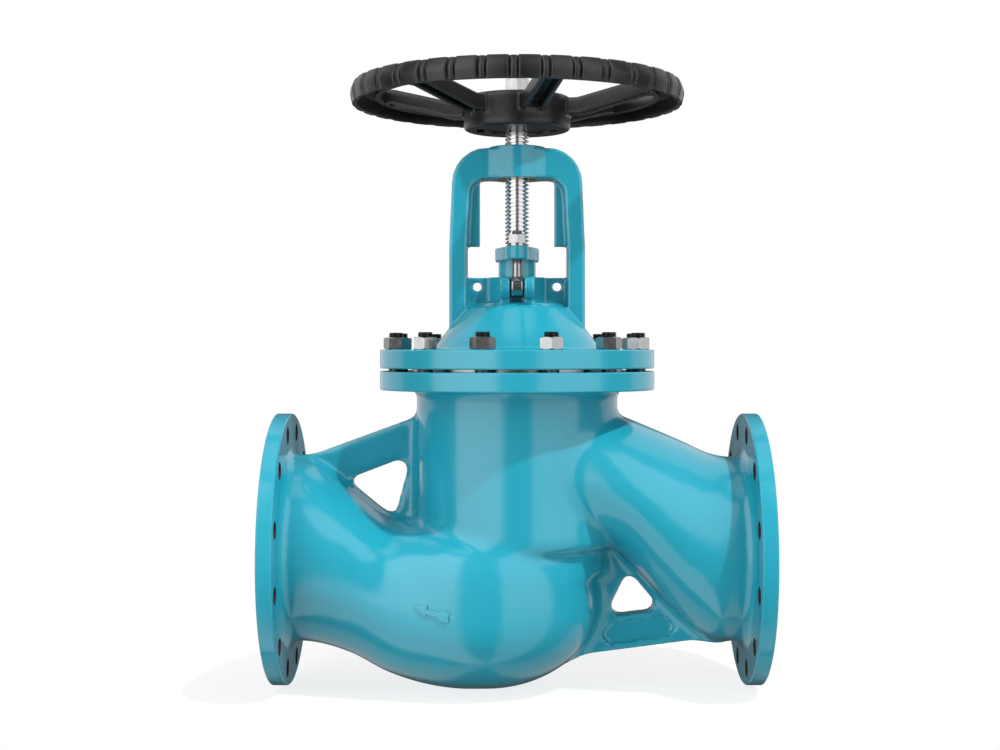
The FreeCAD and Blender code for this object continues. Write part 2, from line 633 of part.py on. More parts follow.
def gland_washer(side):
    low = GLAND_Z[1]
    washer = ring(EYE_BOLT_R + 6, EYE_BOLT_R + 0.5, low, low + GLAND_WASHER_H)
    washer.translate(V(0, side * EYE_BOLT_Y, 0))
    return washer


def gland_nut(side):
    low = GLAND_Z[1] + GLAND_WASHER_H
    nut = hexagon(GLAND_NUT_AF, low, low + GLAND_NUT_H, turn=90)
    nut = nut.cut(cylinder(EYE_BOLT_R + RUNNING, low - 1, low + GLAND_NUT_H + 1))
    nut.translate(V(0, side * EYE_BOLT_Y, 0))
    return nut


# ---------------------------------------------------------------- handwheel

def wheel_rim():
    """An inverted channel with a deep outer wall, fluted for grip."""
    low, high = RIM_Z
    outer, inner = WHEEL_R, RIM_INNER_R
    wall = RIM_WALL
    rim = lathe([(outer - 1.5, low), (outer, low + 1.5), (outer, high - 5), (outer - 2, high - 1.5),
                 (outer - 6, high), (inner + 6, high), (inner + 2, high - 1.5), (inner, high - 5),
                 (inner, RIM_INNER_FOOT), (inner + wall - 1, RIM_INNER_FOOT), (inner + wall, high - wall),
                 (outer - wall, high - wall), (outer - wall + 1, low)])
    flutes = []
    offset = math.degrees((GRIP_RIDGE / 2 + GRIP_GROOVE_R * 0.8) / WHEEL_R)
    flute = Part.makeCylinder(GRIP_GROOVE_R, high - low + 4, V(WHEEL_R + 0.6, 0, low - 2))
    for first in (GRIP_FIRST - offset, GRIP_FIRST + offset):
        flutes += around(flute, GRIP_COUNT, first)
    return rim.cut(flutes)


def spoke():
    """One channel-shaped spoke along +X, open below, rising from the hub to the rim."""
    hub_x, rim_x = HUB_R - 12, RIM_INNER_R + 5
    top = [(hub_x, 674), (HUB_R + 16, 674), (rim_x - 18, RIM_Z[1] - 1.5), (rim_x, RIM_Z[1] - 1.5)]
    foot = [(rim_x, RIM_INNER_FOOT), (rim_x - 16, RIM_INNER_FOOT), (HUB_R + 20, 650), (hub_x, 650)]
    bar = prism_y(top + foot, SPOKE_WIDTH / 2)
    under = [(x, z - SPOKE_PLATE) for x, z in top]
    hollow = prism_y([(HUB_R, 600), (HUB_R, under[0][1]), under[1], under[2], (RIM_INNER_R, under[3][1]),
                      (RIM_INNER_R, 600)], SPOKE_WIDTH / 2 - SPOKE_RIB)
    return bar.cut(hollow)


def handwheel():
    low, high = HUB_Z
    floor = low + HUB_RECESS_H
    hub = lathe([(WHEEL_SEAT_R, floor), (HUB_RECESS_R - 1, floor), (HUB_RECESS_R, low), (HUB_R - 3, low),
                 (HUB_R, low + 3), (HUB_R, high - 4), (HUB_R - 1.2, high - 1.2), (HUB_R - 4, high),
                 (WHEEL_SEAT_R, high)])
    spokes = around(spoke(), SPOKE_COUNT, -90 + SPOKE_FIRST)
    wheel = hub.fuse(spokes + [wheel_rim()])
    width, height, length = KEY_SIZE
    key_way = box((0, WHEEL_SEAT_R + height / 2), (-width / 2, width / 2), (low - 1, floor + 2 + length))
    bore = cylinder(WHEEL_SEAT_R, low - 1, high + 1)
    slots = [box((x - slot_width / 2, x + slot_width / 2), (-slot_length / 2, slot_length / 2),
                 (low - 1, low + HUB_SLOT_H)) for x, slot_width, slot_length in HUB_SLOTS]
    return wheel.cut([bore, key_way] + slots)


def handwheel_key():
    width, height, length = KEY_SIZE
    low = HUB_Z[0] + HUB_RECESS_H + 2
    return box((WHEEL_SEAT_R - height / 2, WHEEL_SEAT_R + height / 2), (-width / 2, width / 2),
               (low, low + length))


def handwheel_washer():
    low = HUB_Z[1]
    return ring(WHEEL_WASHER[0], WHEEL_THREAD_R + 0.5, low, low + WHEEL_WASHER[1])


def handwheel_nut():
    low = HUB_Z[1] + WHEEL_WASHER[1]
    nut = hexagon(WHEEL_NUT_AF, low, low + WHEEL_NUT_H, turn=90)
    return nut.cut(cylinder(WHEEL_THREAD_R, low - 1, low + WHEEL_NUT_H + 1))


# ---------------------------------------------------------------- export

def all_parts():
    parts = {
        "body_casting": body_casting(),
        "body_seat_ring": body_seat_ring(),
        "plug_disc": plug_disc(),
        "plug_retaining_nut": plug_retaining_nut(),
        "plug_split_ring": plug_split_ring(),
        "stem": stem(),
        "bonnet_yoke": bonnet_yoke(),
        "bonnet_gasket": bonnet_gasket(),
        "bonnet_studs": bonnet_studs(),
        "bonnet_nuts": bonnet_nuts(),
        "backseat_bush": backseat_bush(),
        "yoke_bush": yoke_bush(),
        "yoke_bush_grub_screw": yoke_bush_grub_screw(),
        "packing_base_ring": packing_base_ring(),
        "gland_sleeve": gland_sleeve(),
        "gland_flange": gland_flange(),
        "handwheel": handwheel(),
        "handwheel_key": handwheel_key(),
        "handwheel_washer": handwheel_washer(),
        "handwheel_nut": handwheel_nut(),
    }
    for index in range(PACKING_COUNT):
        parts["packing_ring_%d" % (index + 1)] = packing_ring(index)
    for side, word in ((-1, "front"), (1, "back")):
        parts["eye_bolt_" + word] = eye_bolt(side)
        parts["eye_bolt_pin_" + word] = eye_bolt_pin(side)
        parts["gland_washer_" + word] = gland_washer(side)
        parts["gland_nut_" + word] = gland_nut(side)
    return parts


os.makedirs("parts", exist_ok=True)
for name, shape in all_parts().items():
    shape.translate(V(-FACE_TO_FACE / 2, 0, 0))
    shape.exportStep("parts/%s.step" % name)
    print(name, shape.isValid(), len(shape.Solids), round(shape.Volume / 1000.0, 2), "cm3")
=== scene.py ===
import json
import math
from functools import partial

import bmesh
import bpy
import numpy as np
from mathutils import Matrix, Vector
from mathutils.bvhtree import BVHTree


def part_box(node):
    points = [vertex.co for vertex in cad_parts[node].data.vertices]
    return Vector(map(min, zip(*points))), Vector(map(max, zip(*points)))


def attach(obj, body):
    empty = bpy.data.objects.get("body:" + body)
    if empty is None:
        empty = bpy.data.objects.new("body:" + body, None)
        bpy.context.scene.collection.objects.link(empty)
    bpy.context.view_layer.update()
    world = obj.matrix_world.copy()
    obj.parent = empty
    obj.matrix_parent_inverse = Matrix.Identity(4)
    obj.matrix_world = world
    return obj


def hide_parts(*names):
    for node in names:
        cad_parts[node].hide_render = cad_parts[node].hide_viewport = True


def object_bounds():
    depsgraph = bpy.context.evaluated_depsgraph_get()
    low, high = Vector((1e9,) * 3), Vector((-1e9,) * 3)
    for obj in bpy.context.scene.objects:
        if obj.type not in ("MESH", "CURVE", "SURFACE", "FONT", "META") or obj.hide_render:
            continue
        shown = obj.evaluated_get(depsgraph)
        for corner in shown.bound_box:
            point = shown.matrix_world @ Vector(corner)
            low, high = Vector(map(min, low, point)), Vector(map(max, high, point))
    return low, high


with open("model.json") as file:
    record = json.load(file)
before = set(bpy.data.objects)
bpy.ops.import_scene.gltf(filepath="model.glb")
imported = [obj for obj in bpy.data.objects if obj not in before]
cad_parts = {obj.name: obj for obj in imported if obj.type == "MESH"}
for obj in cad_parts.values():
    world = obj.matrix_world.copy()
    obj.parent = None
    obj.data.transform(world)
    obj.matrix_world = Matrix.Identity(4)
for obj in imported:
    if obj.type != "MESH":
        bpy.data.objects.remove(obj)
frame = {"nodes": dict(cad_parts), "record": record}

# The looks of a globe valve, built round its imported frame. Shapes are worked out in millimetres
# about the valve centre, where the stem axis (Z) crosses the pipe axis (X), and moved into the
# row frame by place().
cad_low, cad_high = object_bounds()


def centre_of(node):
    low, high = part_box(node)
    return (low + high) / 2


AXIS_X = centre_of("stem").x


def span(node, axis):
    """Lowest and highest coordinate of a CAD node along an axis, in mm about the valve centre."""
    low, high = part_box(node)
    shift = AXIS_X if axis == 0 else 0.0
    return (low[axis] - shift) * 1000, (high[axis] - shift) * 1000


# Pipe ends and body
HALF_LENGTH = span("body_casting", 0)[1]
END_FLANGE_R = 202.5
END_FLANGE_BACK = HALF_LENGTH - 26
RAISED_FACE_R = 160.0
RAISED_FACE_H = 3.0
END_HOLE_R = 13.0
END_HOLE_CIRCLE_R = 177.5
BOLT_COUNT = 12
BORE_R = 125.0
NECK_R = 150.5
CHAMBER_R = 137.0
COVER_R = span("bonnet_yoke", 1)[1]
BODY_TOP = span("body_casting", 2)[1]
BODY_FLANGE_H = 28.0
BODY_WALL = 13.5
SKIN_INSET = 15.0
PARTITION_LOW, PARTITION_TOP = 6.0, 33.0
SEAT_LOW = span("body_seat_ring", 2)[0]
SEAT_R = span("body_seat_ring", 0)[1]
PORT_R, PORT_FOOT = 118.0, -24.0
THROAT_R, THROAT_MIDDLE, THROAT_HALF = 131.5, -14.0, 24.0

# Skins of the two passages, as (x, z_top, z_bottom, half_width, fullness of the upper half);
# fullness 2 is an ellipse, which every lower half is.
BOWL = [(-334, 137.5, -137.5, 137.5, 2.0), (-318, 137, -137.5, 137.5, 2.0),
        (-248, 92, -154, 140, 2.1), (-190, 50, -183, 147, 2.3), (-140, 45, -199, 157, 2.8),
        (-90, 44, -206.5, 169, 3.5), (-45, 44, -207, 172, 3.5)]
BOWL_END_LENGTH = 165.0
INLET = [(60, 225, 12, 128, 2), (142, 205, 2, 140, 2), (200, 182, -57, 142, 2),
         (250, 160.5, -107, 140, 2), (292, 142, -136.5, 138.5, 2), (318, 137.5, -137.5, 137.5, 2),
         (334, 137.5, -137.5, 137.5, 2)]

# Bonnet joint
BONNET_LOW = span("bonnet_yoke", 2)[0]
BONNET_FLANGE_TOP = BONNET_LOW + 28
STUD_CIRCLE_R = 185.0
STUD_R = 11.0
STUD_PITCH = 2.5
STUD_LOW, STUD_TOP = span("bonnet_studs", 2)

# Bonnet, stuffing box and yoke
DOME_FOOT = (125.5, 302.0)
DOME_TOP = (78.5, 361.0)
DOME_ROOF = 345.0
DOME_WALL = 15.0
STUFFING_R, STUFFING_OUTER_R = 28.0, 41.5
STUFFING_FLOOR, STUFFING_TOP = 326.0, 407.0
STEM_BORE_R = 18.6
BACKSEAT_R = span("backseat_bush", 1)[1]
BACKSEAT_LOW, BACKSEAT_TOP = span("backseat_bush", 2)
YOKE_FOOT_X, YOKE_TOP_X, YOKE_SHOULDER = 101.5, 97.5, 450.0
YOKE_TOP = 601.0
YOKE_HALF_DEPTH = 28.0
YOKE_BAR = 26.5
YOKE_CORNER_R, YOKE_INNER_R = 54.0, 24.0
YOKE_RIB_X, YOKE_RIB_FOOT, YOKE_RIB_HALF = 56.0, 454.0, 8.0
BUSH_LOW, BOSS_TOP = span("yoke_bush", 2)
BUSH_R, BUSH_LIP_R, BUSH_LIP_H = 25.0, span("yoke_bush", 1)[1], 6.0
BOSS_R = 42.7
GRUB_R, GRUB_Z = 4.0, (BUSH_LOW + BOSS_TOP) / 2
WEB_HALF = 11.0
WEB_POCKET, WEB_POCKET_DEPTH = [(44, 368), (75, 368), (75, 420), (44, 420)], 6.5
BRACKET_HOLE = (60.0, 393.5, 6.5)

# Gland and eye bolts
GLAND_LOW, GLAND_TOP = span("gland_flange", 2)
GLAND_HALF_WIDTH = span("gland_flange", 0)[1]
GLAND_END_R = 15.7
GLAND_END_Y = span("gland_flange", 1)[1] - GLAND_END_R
EYE_Y, EYE_Z, EYE_R = 66.0, 391.0, 15.0
EYE_HALF = span("eye_bolt_front", 0)[1]
EYE_BOLT_R = 8.0
EYE_BOLT_TOP = span("eye_bolt_front", 2)[1]
EYE_BOLT_PITCH = 2.0
PIN_R = 6.0
LUG_SLOT, LUG_HALF, LUG_R = 10.7, span("eye_bolt_pin_front", 0)[1], 18.0

# Handwheel
WHEEL_R = span("handwheel", 0)[1]
RIM_INNER_R = 205.0
HUB_LOW, RIM_TOP = span("handwheel", 2)
HUB_TOP = span("handwheel_washer", 2)[0]
RIM_LOW, RIM_INNER_FOOT = RIM_TOP - 33, RIM_TOP - 24
RIM_WALL = 9.0
HUB_R = 80.4
HUB_BORE_R = 13.0
HUB_RECESS_R, HUB_RECESS_H = 49.0, 3.0
HUB_SLOTS = ((-55.0, 12.0, 36.0), (55.0, 10.0, 18.0))
GRIP_COUNT, GRIP_FIRST = 35, -91.1
HUB_SLOT_DEPTH = 8.0
SPOKE_COUNT, SPOKE_FIRST = 6, -75.0
SPOKE_HALF, SPOKE_WALL, SPOKE_ROOF = 17.0, 7.0, 8.0


def place(points):
    """Millimetres about the valve centre to metres in the row frame."""
    return np.asarray(points, float) * 0.001 + (AXIS_X, 0.0, 0.0)


# ---------------------------------------- outlines

def rounded(corners, radii, steps=6):
    """A closed polygon with each corner turned into an arc of its radius."""
    points = []
    count = len(corners)
    for i, corner in enumerate(corners):
        here = np.array(corner, float)
        before = np.array(corners[i - 1], float) - here
        after = np.array(corners[(i + 1) % count], float) - here
        before /= np.linalg.norm(before)
        after /= np.linalg.norm(after)
        half = math.acos(np.clip(before @ after, -1, 1)) / 2
        if radii[i] <= 0 or half > math.pi / 2 - 0.005:
            points.append(tuple(here))
            continue
        middle = (before + after) / np.linalg.norm(before + after)
        centre = here + middle * radii[i] / math.sin(half)
        start = here + before * radii[i] / math.tan(half) - centre
        end = here + after * radii[i] / math.tan(half) - centre
        sweep = math.pi - 2 * half
        for k in range(steps + 1):
            share = k / steps
            weights = np.array([math.sin((1 - share) * sweep), math.sin(share * sweep)])
            weights /= math.sin(sweep)
            points.append(tuple(centre + start * weights[0] + end * weights[1]))
    return points


# ---------------------------------------- distance fields
# A field holds, at each point of a grid, the distance in mm to a surface, negative inside.

class Grid:
    def __init__(self, x_span, y_span, z_span, step):
        self.step = step
        self.axes = [np.arange(low, high + step, step) for low, high in (x_span, y_span, z_span)]
        self.x = self.axes[0][:, None, None]
        self.y = self.axes[1][None, :, None]
        self.z = self.axes[2][None, None, :]
        self.radius = np.hypot(self.x, self.y)


def join(a, b, fillet):
    """Union of two fields with a fillet between them."""
    near = np.maximum(fillet - np.abs(a - b), 0) / fillet
    return np.minimum(a, b) - near * near * fillet / 4


def carve(a, b, edge):
    """Field a with b taken away, and the edge between them rounded."""
    return -join(-a, b, edge)


def common(a, b, edge):
    return -join(-a, -b, edge)


def polygon_field(u, v, outline):
    """Distance to a closed polygon at points (u, v), negative inside."""
    shape = np.broadcast(u, v).shape
    nearest = np.full(shape, 1e9)
    inside = np.zeros(shape, bool)
    for (u0, v0), (u1, v1) in zip(outline, outline[1:] + outline[:1]):
        du, dv = u1 - u0, v1 - v0
        length = du * du + dv * dv
        if length < 1e-12:
            continue
        along = np.clip(((u - u0) * du + (v - v0) * dv) / length, 0, 1)
        nearest = np.minimum(nearest, np.hypot(u - u0 - along * du, v - v0 - along * dv))
        if dv:
            inside ^= ((v0 > v) != (v1 > v)) & (u < u0 + (v - v0) * du / dv)
    return np.where(inside, -nearest, nearest)


def profile_field(grid, across, outline):
    """Field of an outline in (across, z), where across is a coordinate of every (x, y)."""
    fine = grid.step / 2
    across = np.broadcast_to(across, (len(grid.axes[0]), len(grid.axes[1]), 1))[:, :, 0]
    low = across.min()
    samples = np.arange(low, across.max() + 2 * fine, fine)
    table = polygon_field(samples[:, None], grid.axes[2][None, :], outline)
    at = (across - low) / fine
    below = np.minimum(at.astype(int), len(samples) - 2)
    share = (at - below)[:, :, None]
    return table[below] * (1 - share) + table[below + 1] * share


def smooth_curve(at, knots, values):
    """A smooth curve through the knots, level at both ends."""
    slopes = np.gradient(values, knots)
    slopes[0] = slopes[-1] = 0
    i = np.clip(np.searchsorted(knots, at) - 1, 0, len(knots) - 2)
    gap = knots[i + 1] - knots[i]
    t = np.clip((at - knots[i]) / gap, 0, 1)
    return ((1 + 2 * t) * (1 - t) ** 2 * values[i] + t * (1 - t) ** 2 * gap * slopes[i]
            + t * t * (3 - 2 * t) * values[i + 1] + t * t * (t - 1) * gap * slopes[i + 1])


def passage_field(grid, stations, end_length=0.0):
    """Field of a tube through ovals; with an end length, it closes past the last one."""
    table = np.array(stations, float)
    x = grid.axes[0]
    top, bottom, width, fullness = (smooth_curve(x, table[:, 0], table[:, k])[:, None, None]
                                    for k in range(1, 5))
    across = np.abs(grid.y) / width
    up = (grid.z - (top + bottom) / 2) / ((top - bottom) / 2)
    fullness = np.where(up > 0, fullness, 2.0)
    size = (across ** fullness + np.abs(up) ** fullness) ** (1 / fullness)
    if end_length:
        past = np.clip(x - table[-1, 0], 0, None)[:, None, None] / end_length
        size = np.hypot(size, past)
    slopes = np.gradient(size, grid.step)
    return (size - 1) / np.maximum(np.sqrt(sum(s * s for s in slopes)), 0.002)


# ---------------------------------------- field to mesh

CORNERS = np.array([(i, j, k) for i in (0, 1) for j in (0, 1) for k in (0, 1)])
CELL_EDGES = [(a, b) for a in range(8) for b in range(a + 1, 8)
              if np.abs(CORNERS[a] - CORNERS[b]).sum() == 1]


def sample(field, at):
    """Values of a field between its grid points, at fractional grid coordinates."""
    base = np.clip(at.astype(int), 0, np.array(field.shape) - 2)
    part = at - base
    total = 0
    for corner in CORNERS:
        weight = np.prod(np.where(corner, part, 1 - part), axis=1)
        total = total + weight * field[tuple((base + corner).T)]
    return total


def relax(points, quads, field, rounds):
    """Even out a skin's vertices and bring them back to the field's surface each time."""
    edges = np.concatenate([quads[:, [k, (k + 1) % 4]] for k in range(4)])
    edges = np.concatenate([edges, edges[:, ::-1]])
    degree = np.bincount(edges[:, 0], minlength=len(points))[:, None]
    steps = np.eye(3) * 0.5
    for _ in range(rounds):
        mean = np.stack([np.bincount(edges[:, 0], points[edges[:, 1], k], len(points))
                         for k in range(3)], axis=1) / degree
        points = points + 0.6 * (mean - points)
        slope = np.stack([sample(field, points + s) - sample(field, points - s) for s in steps],
                         axis=1)
        steep = np.maximum((slope * slope).sum(axis=1), 0.05)
        shift = slope * (sample(field, points) / steep)[:, None]
        points = points - np.clip(shift, -0.5, 0.5)
    return points


def skin(grid, field, rounds=3):
    """Vertices in mm and quads of a field's zero surface, one vertex in each cell it crosses."""
    inside = field < 0
    count = np.zeros(np.array(field.shape) - 1, np.int8)
    for i, j, k in CORNERS:
        count += inside[i:i + count.shape[0], j:j + count.shape[1], k:k + count.shape[2]]
    cells = np.argwhere((count > 0) & (count < 8))
    values = np.stack([field[tuple((cells + corner).T)] for corner in CORNERS], axis=1)
    total = np.zeros((len(cells), 3))
    crossings = np.zeros(len(cells))
    for a, b in CELL_EDGES:
        crosses = (values[:, a] < 0) != (values[:, b] < 0)
        share = values[crosses, a] / (values[crosses, a] - values[crosses, b])
        total[crosses] += CORNERS[a] + share[:, None] * (CORNERS[b] - CORNERS[a])
        crossings[crosses] += 1
    points = cells + total / crossings[:, None]

    number = np.full(count.shape, -1)
    number[tuple(cells.T)] = np.arange(len(cells))
    quads = []
    for axis in range(3):
        one, two = (axis + 1) % 3, (axis + 2) % 3
        low = [slice(None)] * 3
        high = [slice(None)] * 3
        low[axis], high[axis] = slice(None, -1), slice(1, None)
        first, second = inside[tuple(low)], inside[tuple(high)]
        at = np.argwhere(first != second)
        at = at[(at[:, one] > 0) & (at[:, two] > 0)
                & (at[:, one] < count.shape[one]) & (at[:, two] < count.shape[two])]
        leaving = first[tuple(at.T)]
        step_one, step_two = np.eye(3, dtype=int)[one], np.eye(3, dtype=int)[two]
        ring = [at - step_one - step_two, at - step_two, at, at - step_one]
        quad = np.stack([number[tuple(c.T)] for c in ring], axis=1)
        quads.append(np.where(leaving[:, None], quad, quad[:, ::-1]))
    quads = np.concatenate(quads)
    points = relax(points, quads, field, rounds)
    origin = np.array([axis[0] for axis in grid.axes])
    return origin + points * grid.step, quads


# ---------------------------------------- mesh helpers

def add_object(name, data):
    item = bpy.data.objects.new(name, data)
    bpy.context.scene.collection.objects.link(item)
    return item


def new_piece(name, points, faces):
    """A mesh object from points in mm about the valve centre."""
    mesh = bpy.data.meshes.new(name)
    mesh.from_pydata(place(points).tolist(), [], [list(map(int, face)) for face in faces])
    return add_object(name, mesh)


def finished_piece(name, mesh):
    """A mesh object from a bmesh, which is used up."""
    data = bpy.data.meshes.new(name)
    mesh.to_mesh(data)
    mesh.free()
    return add_object(name, data)


def ring_faces(rows, columns, flip=False):
    """Quads of a grid of vertices closed both ways."""
    faces = []
    for i in range(rows):
        for j in range(columns):
            a, b = i * columns + j, i * columns + (j + 1) % columns
            c, d = (i + 1) % rows * columns + (j + 1) % columns, (i + 1) % rows * columns + j
            faces.append((a, d, c, b) if flip else (a, b, c, d))
    return faces


def turned_ring(name, outline, axis="z", segments=192):
    """A ring turned from a closed outline of (radius, height), anticlockwise, about Z or X."""
    angles = np.arange(segments) * 2 * math.pi / segments
    radii = np.array([p[0] for p in outline])
    heights = np.array([p[1] for p in outline])
    cos, sin = np.cos(angles)[:, None], np.sin(angles)[:, None]
    flat = np.broadcast_to(heights, (segments, len(outline)))
    if axis == "z":
        points = np.stack([radii * cos, radii * sin, flat], axis=2)
    else:
        points = np.stack([flat, radii * cos, radii * sin], axis=2)
    return new_piece(name, points.reshape(-1, 3), ring_faces(segments, len(outline), flip=True))


def rod(name, rows, at=(0, 0), axis="z", sides=40):
    """A closed rod along an axis through rows of (height, radius), or (height, radius per side).

    It stands at the two other coordinates in the order (y, z), (z, x) or (x, y).
    """
    angles = np.arange(sides) * 2 * math.pi / sides
    radii = np.stack([np.broadcast_to(radius, (sides,)) for _, radius in rows])
    across, up = at[0] + radii * np.cos(angles), at[1] + radii * np.sin(angles)
    along = np.broadcast_to(np.array([height for height, _ in rows])[:, None], across.shape)
    order = {"x": [along, across, up], "y": [up, along, across], "z": [across, up, along]}[axis]
    points = np.stack(order, axis=2)
    last = len(rows) - 1
    faces = [face for face in ring_faces(len(rows), sides) if face[0] // sides != last]
    faces += [tuple(range(sides - 1, -1, -1)), tuple(last * sides + j for j in range(sides))]
    return new_piece(name, points.reshape(-1, 3), faces)


def prism(name, outline, low, high):
    """A closed prism along Z from an outline in (x, y)."""
    count = len(outline)
    faces = [(i, (i + 1) % count, count + (i + 1) % count, count + i) for i in range(count)]
    faces += [tuple(range(count - 1, -1, -1)), tuple(range(count, 2 * count))]
    return new_piece(name, [(x, y, z) for z in (low, high) for x, y in outline], faces)


def thread_rows(radius, low, high, pitch, sides=40):
    """Rows of a threaded stretch of a rod, whose last turns run out into a chamfer."""
    depth = 0.6 * pitch
    turn = np.arange(sides) / sides
    rows = []
    for height in np.arange(low, high + 0.01, pitch / 6):
        phase = np.abs((height / pitch - turn) % 1 * 2 - 1)
        ridge = np.clip(phase * 1.6 - 0.3, 0, 1)
        crest = min(radius, radius - depth * 1.2 + (high - height))
        rows.append((height, np.minimum(radius - depth * (1 - ridge), crest)))
    return rows


def combine(target, others, operation):
    """Union or difference of a piece with others, which are used up."""
    for other in others:
        step = target.modifiers.new("combine", "BOOLEAN")
        step.operation = operation
        step.solver = "MANIFOLD"
        step.object = other
    bpy.context.view_layer.update()
    evaluated = target.evaluated_get(bpy.context.evaluated_depsgraph_get())
    result = bpy.data.meshes.new_from_object(evaluated)
    target.modifiers.clear()
    target.data = result
    for other in others:
        bpy.data.objects.remove(other)
    return target


def merged(name, pieces):
    """Several separate pieces as one object."""
    mesh = bmesh.new()
    for piece in pieces:
        mesh.from_mesh(piece.data)
        bpy.data.objects.remove(piece)
    return finished_piece(name, mesh)


SHARP_ANGLE = 32.0


def shade(piece):
    """Smooth shading that keeps sharp edges, with flat faces left flat."""
    mesh = piece.data
    mesh.shade_smooth()
    mesh.set_sharp_from_angle(angle=math.radians(SHARP_ANGLE))
    weighted = piece.modifiers.new("weighted", "WEIGHTED_NORMAL")
    weighted.keep_sharp = True
    return piece


def bolt_circle(count, radius, first=15.0):
    """Points (along, across) of a bolt circle."""
    angles = [math.radians(first + 360 / count * i) for i in range(count)]
    return [(radius * math.cos(a), radius * math.sin(a)) for a in angles]


# ---------------------------------------- body

OUTLET_RIB = [(-330, 110), (-330, 133), (-140, 202.5), (-140, 20), (-200, 20)]
OUTLET_RIB_WINDOW = [(-261, 102), (-159, 141), (-186, 41)]
OUTLET_RIB_HALF = 9.0
INLET_RIB = [(60, 14), (60, -157), (84, -160), (300, -132), (300, -60), (150, 10)]
INLET_RIB_WINDOW = [(168, -28), (218, -91), (132, -101)]
INLET_RIB_HALF = 16.0
INLET_RIB_PANEL = [(140, -110), (222, -99), (238, -117), (226, -130), (138, -143), (126, -128)]
PANEL_DEPTH = 6.0
WINDOW_R = 13.5
RIB_EDGE = 4.0
FLOW_ARROW = [(-143.6, -61.4), (-126.4, -60.0), (-129.3, -65.5), (-110.0, -68.9), (-102.9, -66.9),
              (-92.9, -70.6), (-98.6, -75.8), (-96.5, -84.0), (-107.2, -81.5), (-112.1, -76.3),
              (-130.7, -72.3), (-129.8, -75.7)]
ARROW_HEIGHT = 2.5
FLANGE_ROOT = 0.3


def rib_field(grid, outline, window, half):
    """A web in the X-Z plane with a round-cornered window."""
    plate = profile_field(grid, grid.x, outline)
    opening = profile_field(grid, grid.x, rounded(window, [WINDOW_R] * 3))
    return common(carve(plate, opening, RIB_EDGE), np.abs(grid.y) - half, RIB_EDGE)


def body_field(grid):
    """The casting without its three flanges, hollow."""
    bowl = passage_field(grid, BOWL, BOWL_END_LENGTH)
    inlet = passage_field(grid, INLET)
    neck = common(grid.radius - NECK_R, 6 - grid.z, 20)
    inlet_skin = np.maximum(inlet, 40 - grid.x)
    throat = common(grid.radius - THROAT_R, np.abs(grid.z - THROAT_MIDDLE) - THROAT_HALF, 14)
    outer = join(join(join(bowl, throat, 12), neck, 14), inlet_skin, 12)

    cover_disc = np.maximum(grid.radius - 172, BODY_TOP - BODY_FLANGE_H + FLANGE_ROOT - grid.z)
    outer = join(outer, cover_disc, 14)
    pipe_radius = np.hypot(grid.y, grid.z)
    for side in (-1, 1):
        disc = np.maximum(pipe_radius - 168, END_FLANGE_BACK + FLANGE_ROOT - side * grid.x)
        outer = join(outer, disc, 18)

    outer = join(outer, rib_field(grid, OUTLET_RIB, OUTLET_RIB_WINDOW, OUTLET_RIB_HALF), 14)
    rib = rib_field(grid, INLET_RIB, INLET_RIB_WINDOW, INLET_RIB_HALF)
    panel = common(profile_field(grid, grid.x, rounded(INLET_RIB_PANEL, [6] * 6)),
                   INLET_RIB_HALF - PANEL_DEPTH - np.abs(grid.y), 2)
    outer = carve(join(outer, rib, 20), np.maximum(panel, np.abs(grid.y) - 60), 3)

    neck_guard = np.maximum(grid.radius - NECK_R, PARTITION_LOW - grid.z)
    seat_side = np.maximum(np.maximum(-grid.x, grid.x - 134), grid.z - PARTITION_LOW)
    hollows = [
        np.maximum(bowl + BODY_WALL, -neck_guard),
        np.maximum(np.maximum(inlet + BODY_WALL, 40 - grid.x), -seat_side),
        np.maximum(grid.radius - CHAMBER_R, PARTITION_TOP - grid.z),
        np.maximum(grid.radius - PORT_R,
                   np.maximum(PORT_FOOT - grid.z, grid.z - PARTITION_TOP - 2)),
        np.maximum(grid.radius - SEAT_R, SEAT_LOW - grid.z),
        np.maximum(pipe_radius - BORE_R - 0.4, END_FLANGE_BACK - 15 - np.abs(grid.x)),
    ]
    hollow = hollows[0]
    for other in hollows[1:]:
        hollow = join(hollow, other, 6)
    outer = carve(outer, hollow, 2)
    ends = np.maximum(np.abs(grid.x) - (HALF_LENGTH - SKIN_INSET), grid.z - (BODY_TOP - SKIN_INSET))
    return np.maximum(outer, ends)


def end_flange(side):
    """One pipe flange with its raised face and bolt holes."""
    back, face = END_FLANGE_BACK, HALF_LENGTH
    corners = [(BORE_R, back), (END_FLANGE_R, back), (END_FLANGE_R, face - RAISED_FACE_H),
               (RAISED_FACE_R, face - RAISED_FACE_H), (RAISED_FACE_R, face), (BORE_R, face)]
    outline = rounded(corners, [0, 2.5, 2.0, 0.8, 1.0, 1.5], steps=4)
    if side < 0:
        outline = [(r, -x) for r, x in reversed(outline)]
    flange = turned_ring("flange", outline[::-1], axis="x")
    low, high = sorted((side * (back - 12), side * (face + 5)))
    holes = [rod("hole", [(low, END_HOLE_R), (high, END_HOLE_R)], at, axis="x")
             for at in bolt_circle(BOLT_COUNT, END_HOLE_CIRCLE_R)]
    return flange, holes


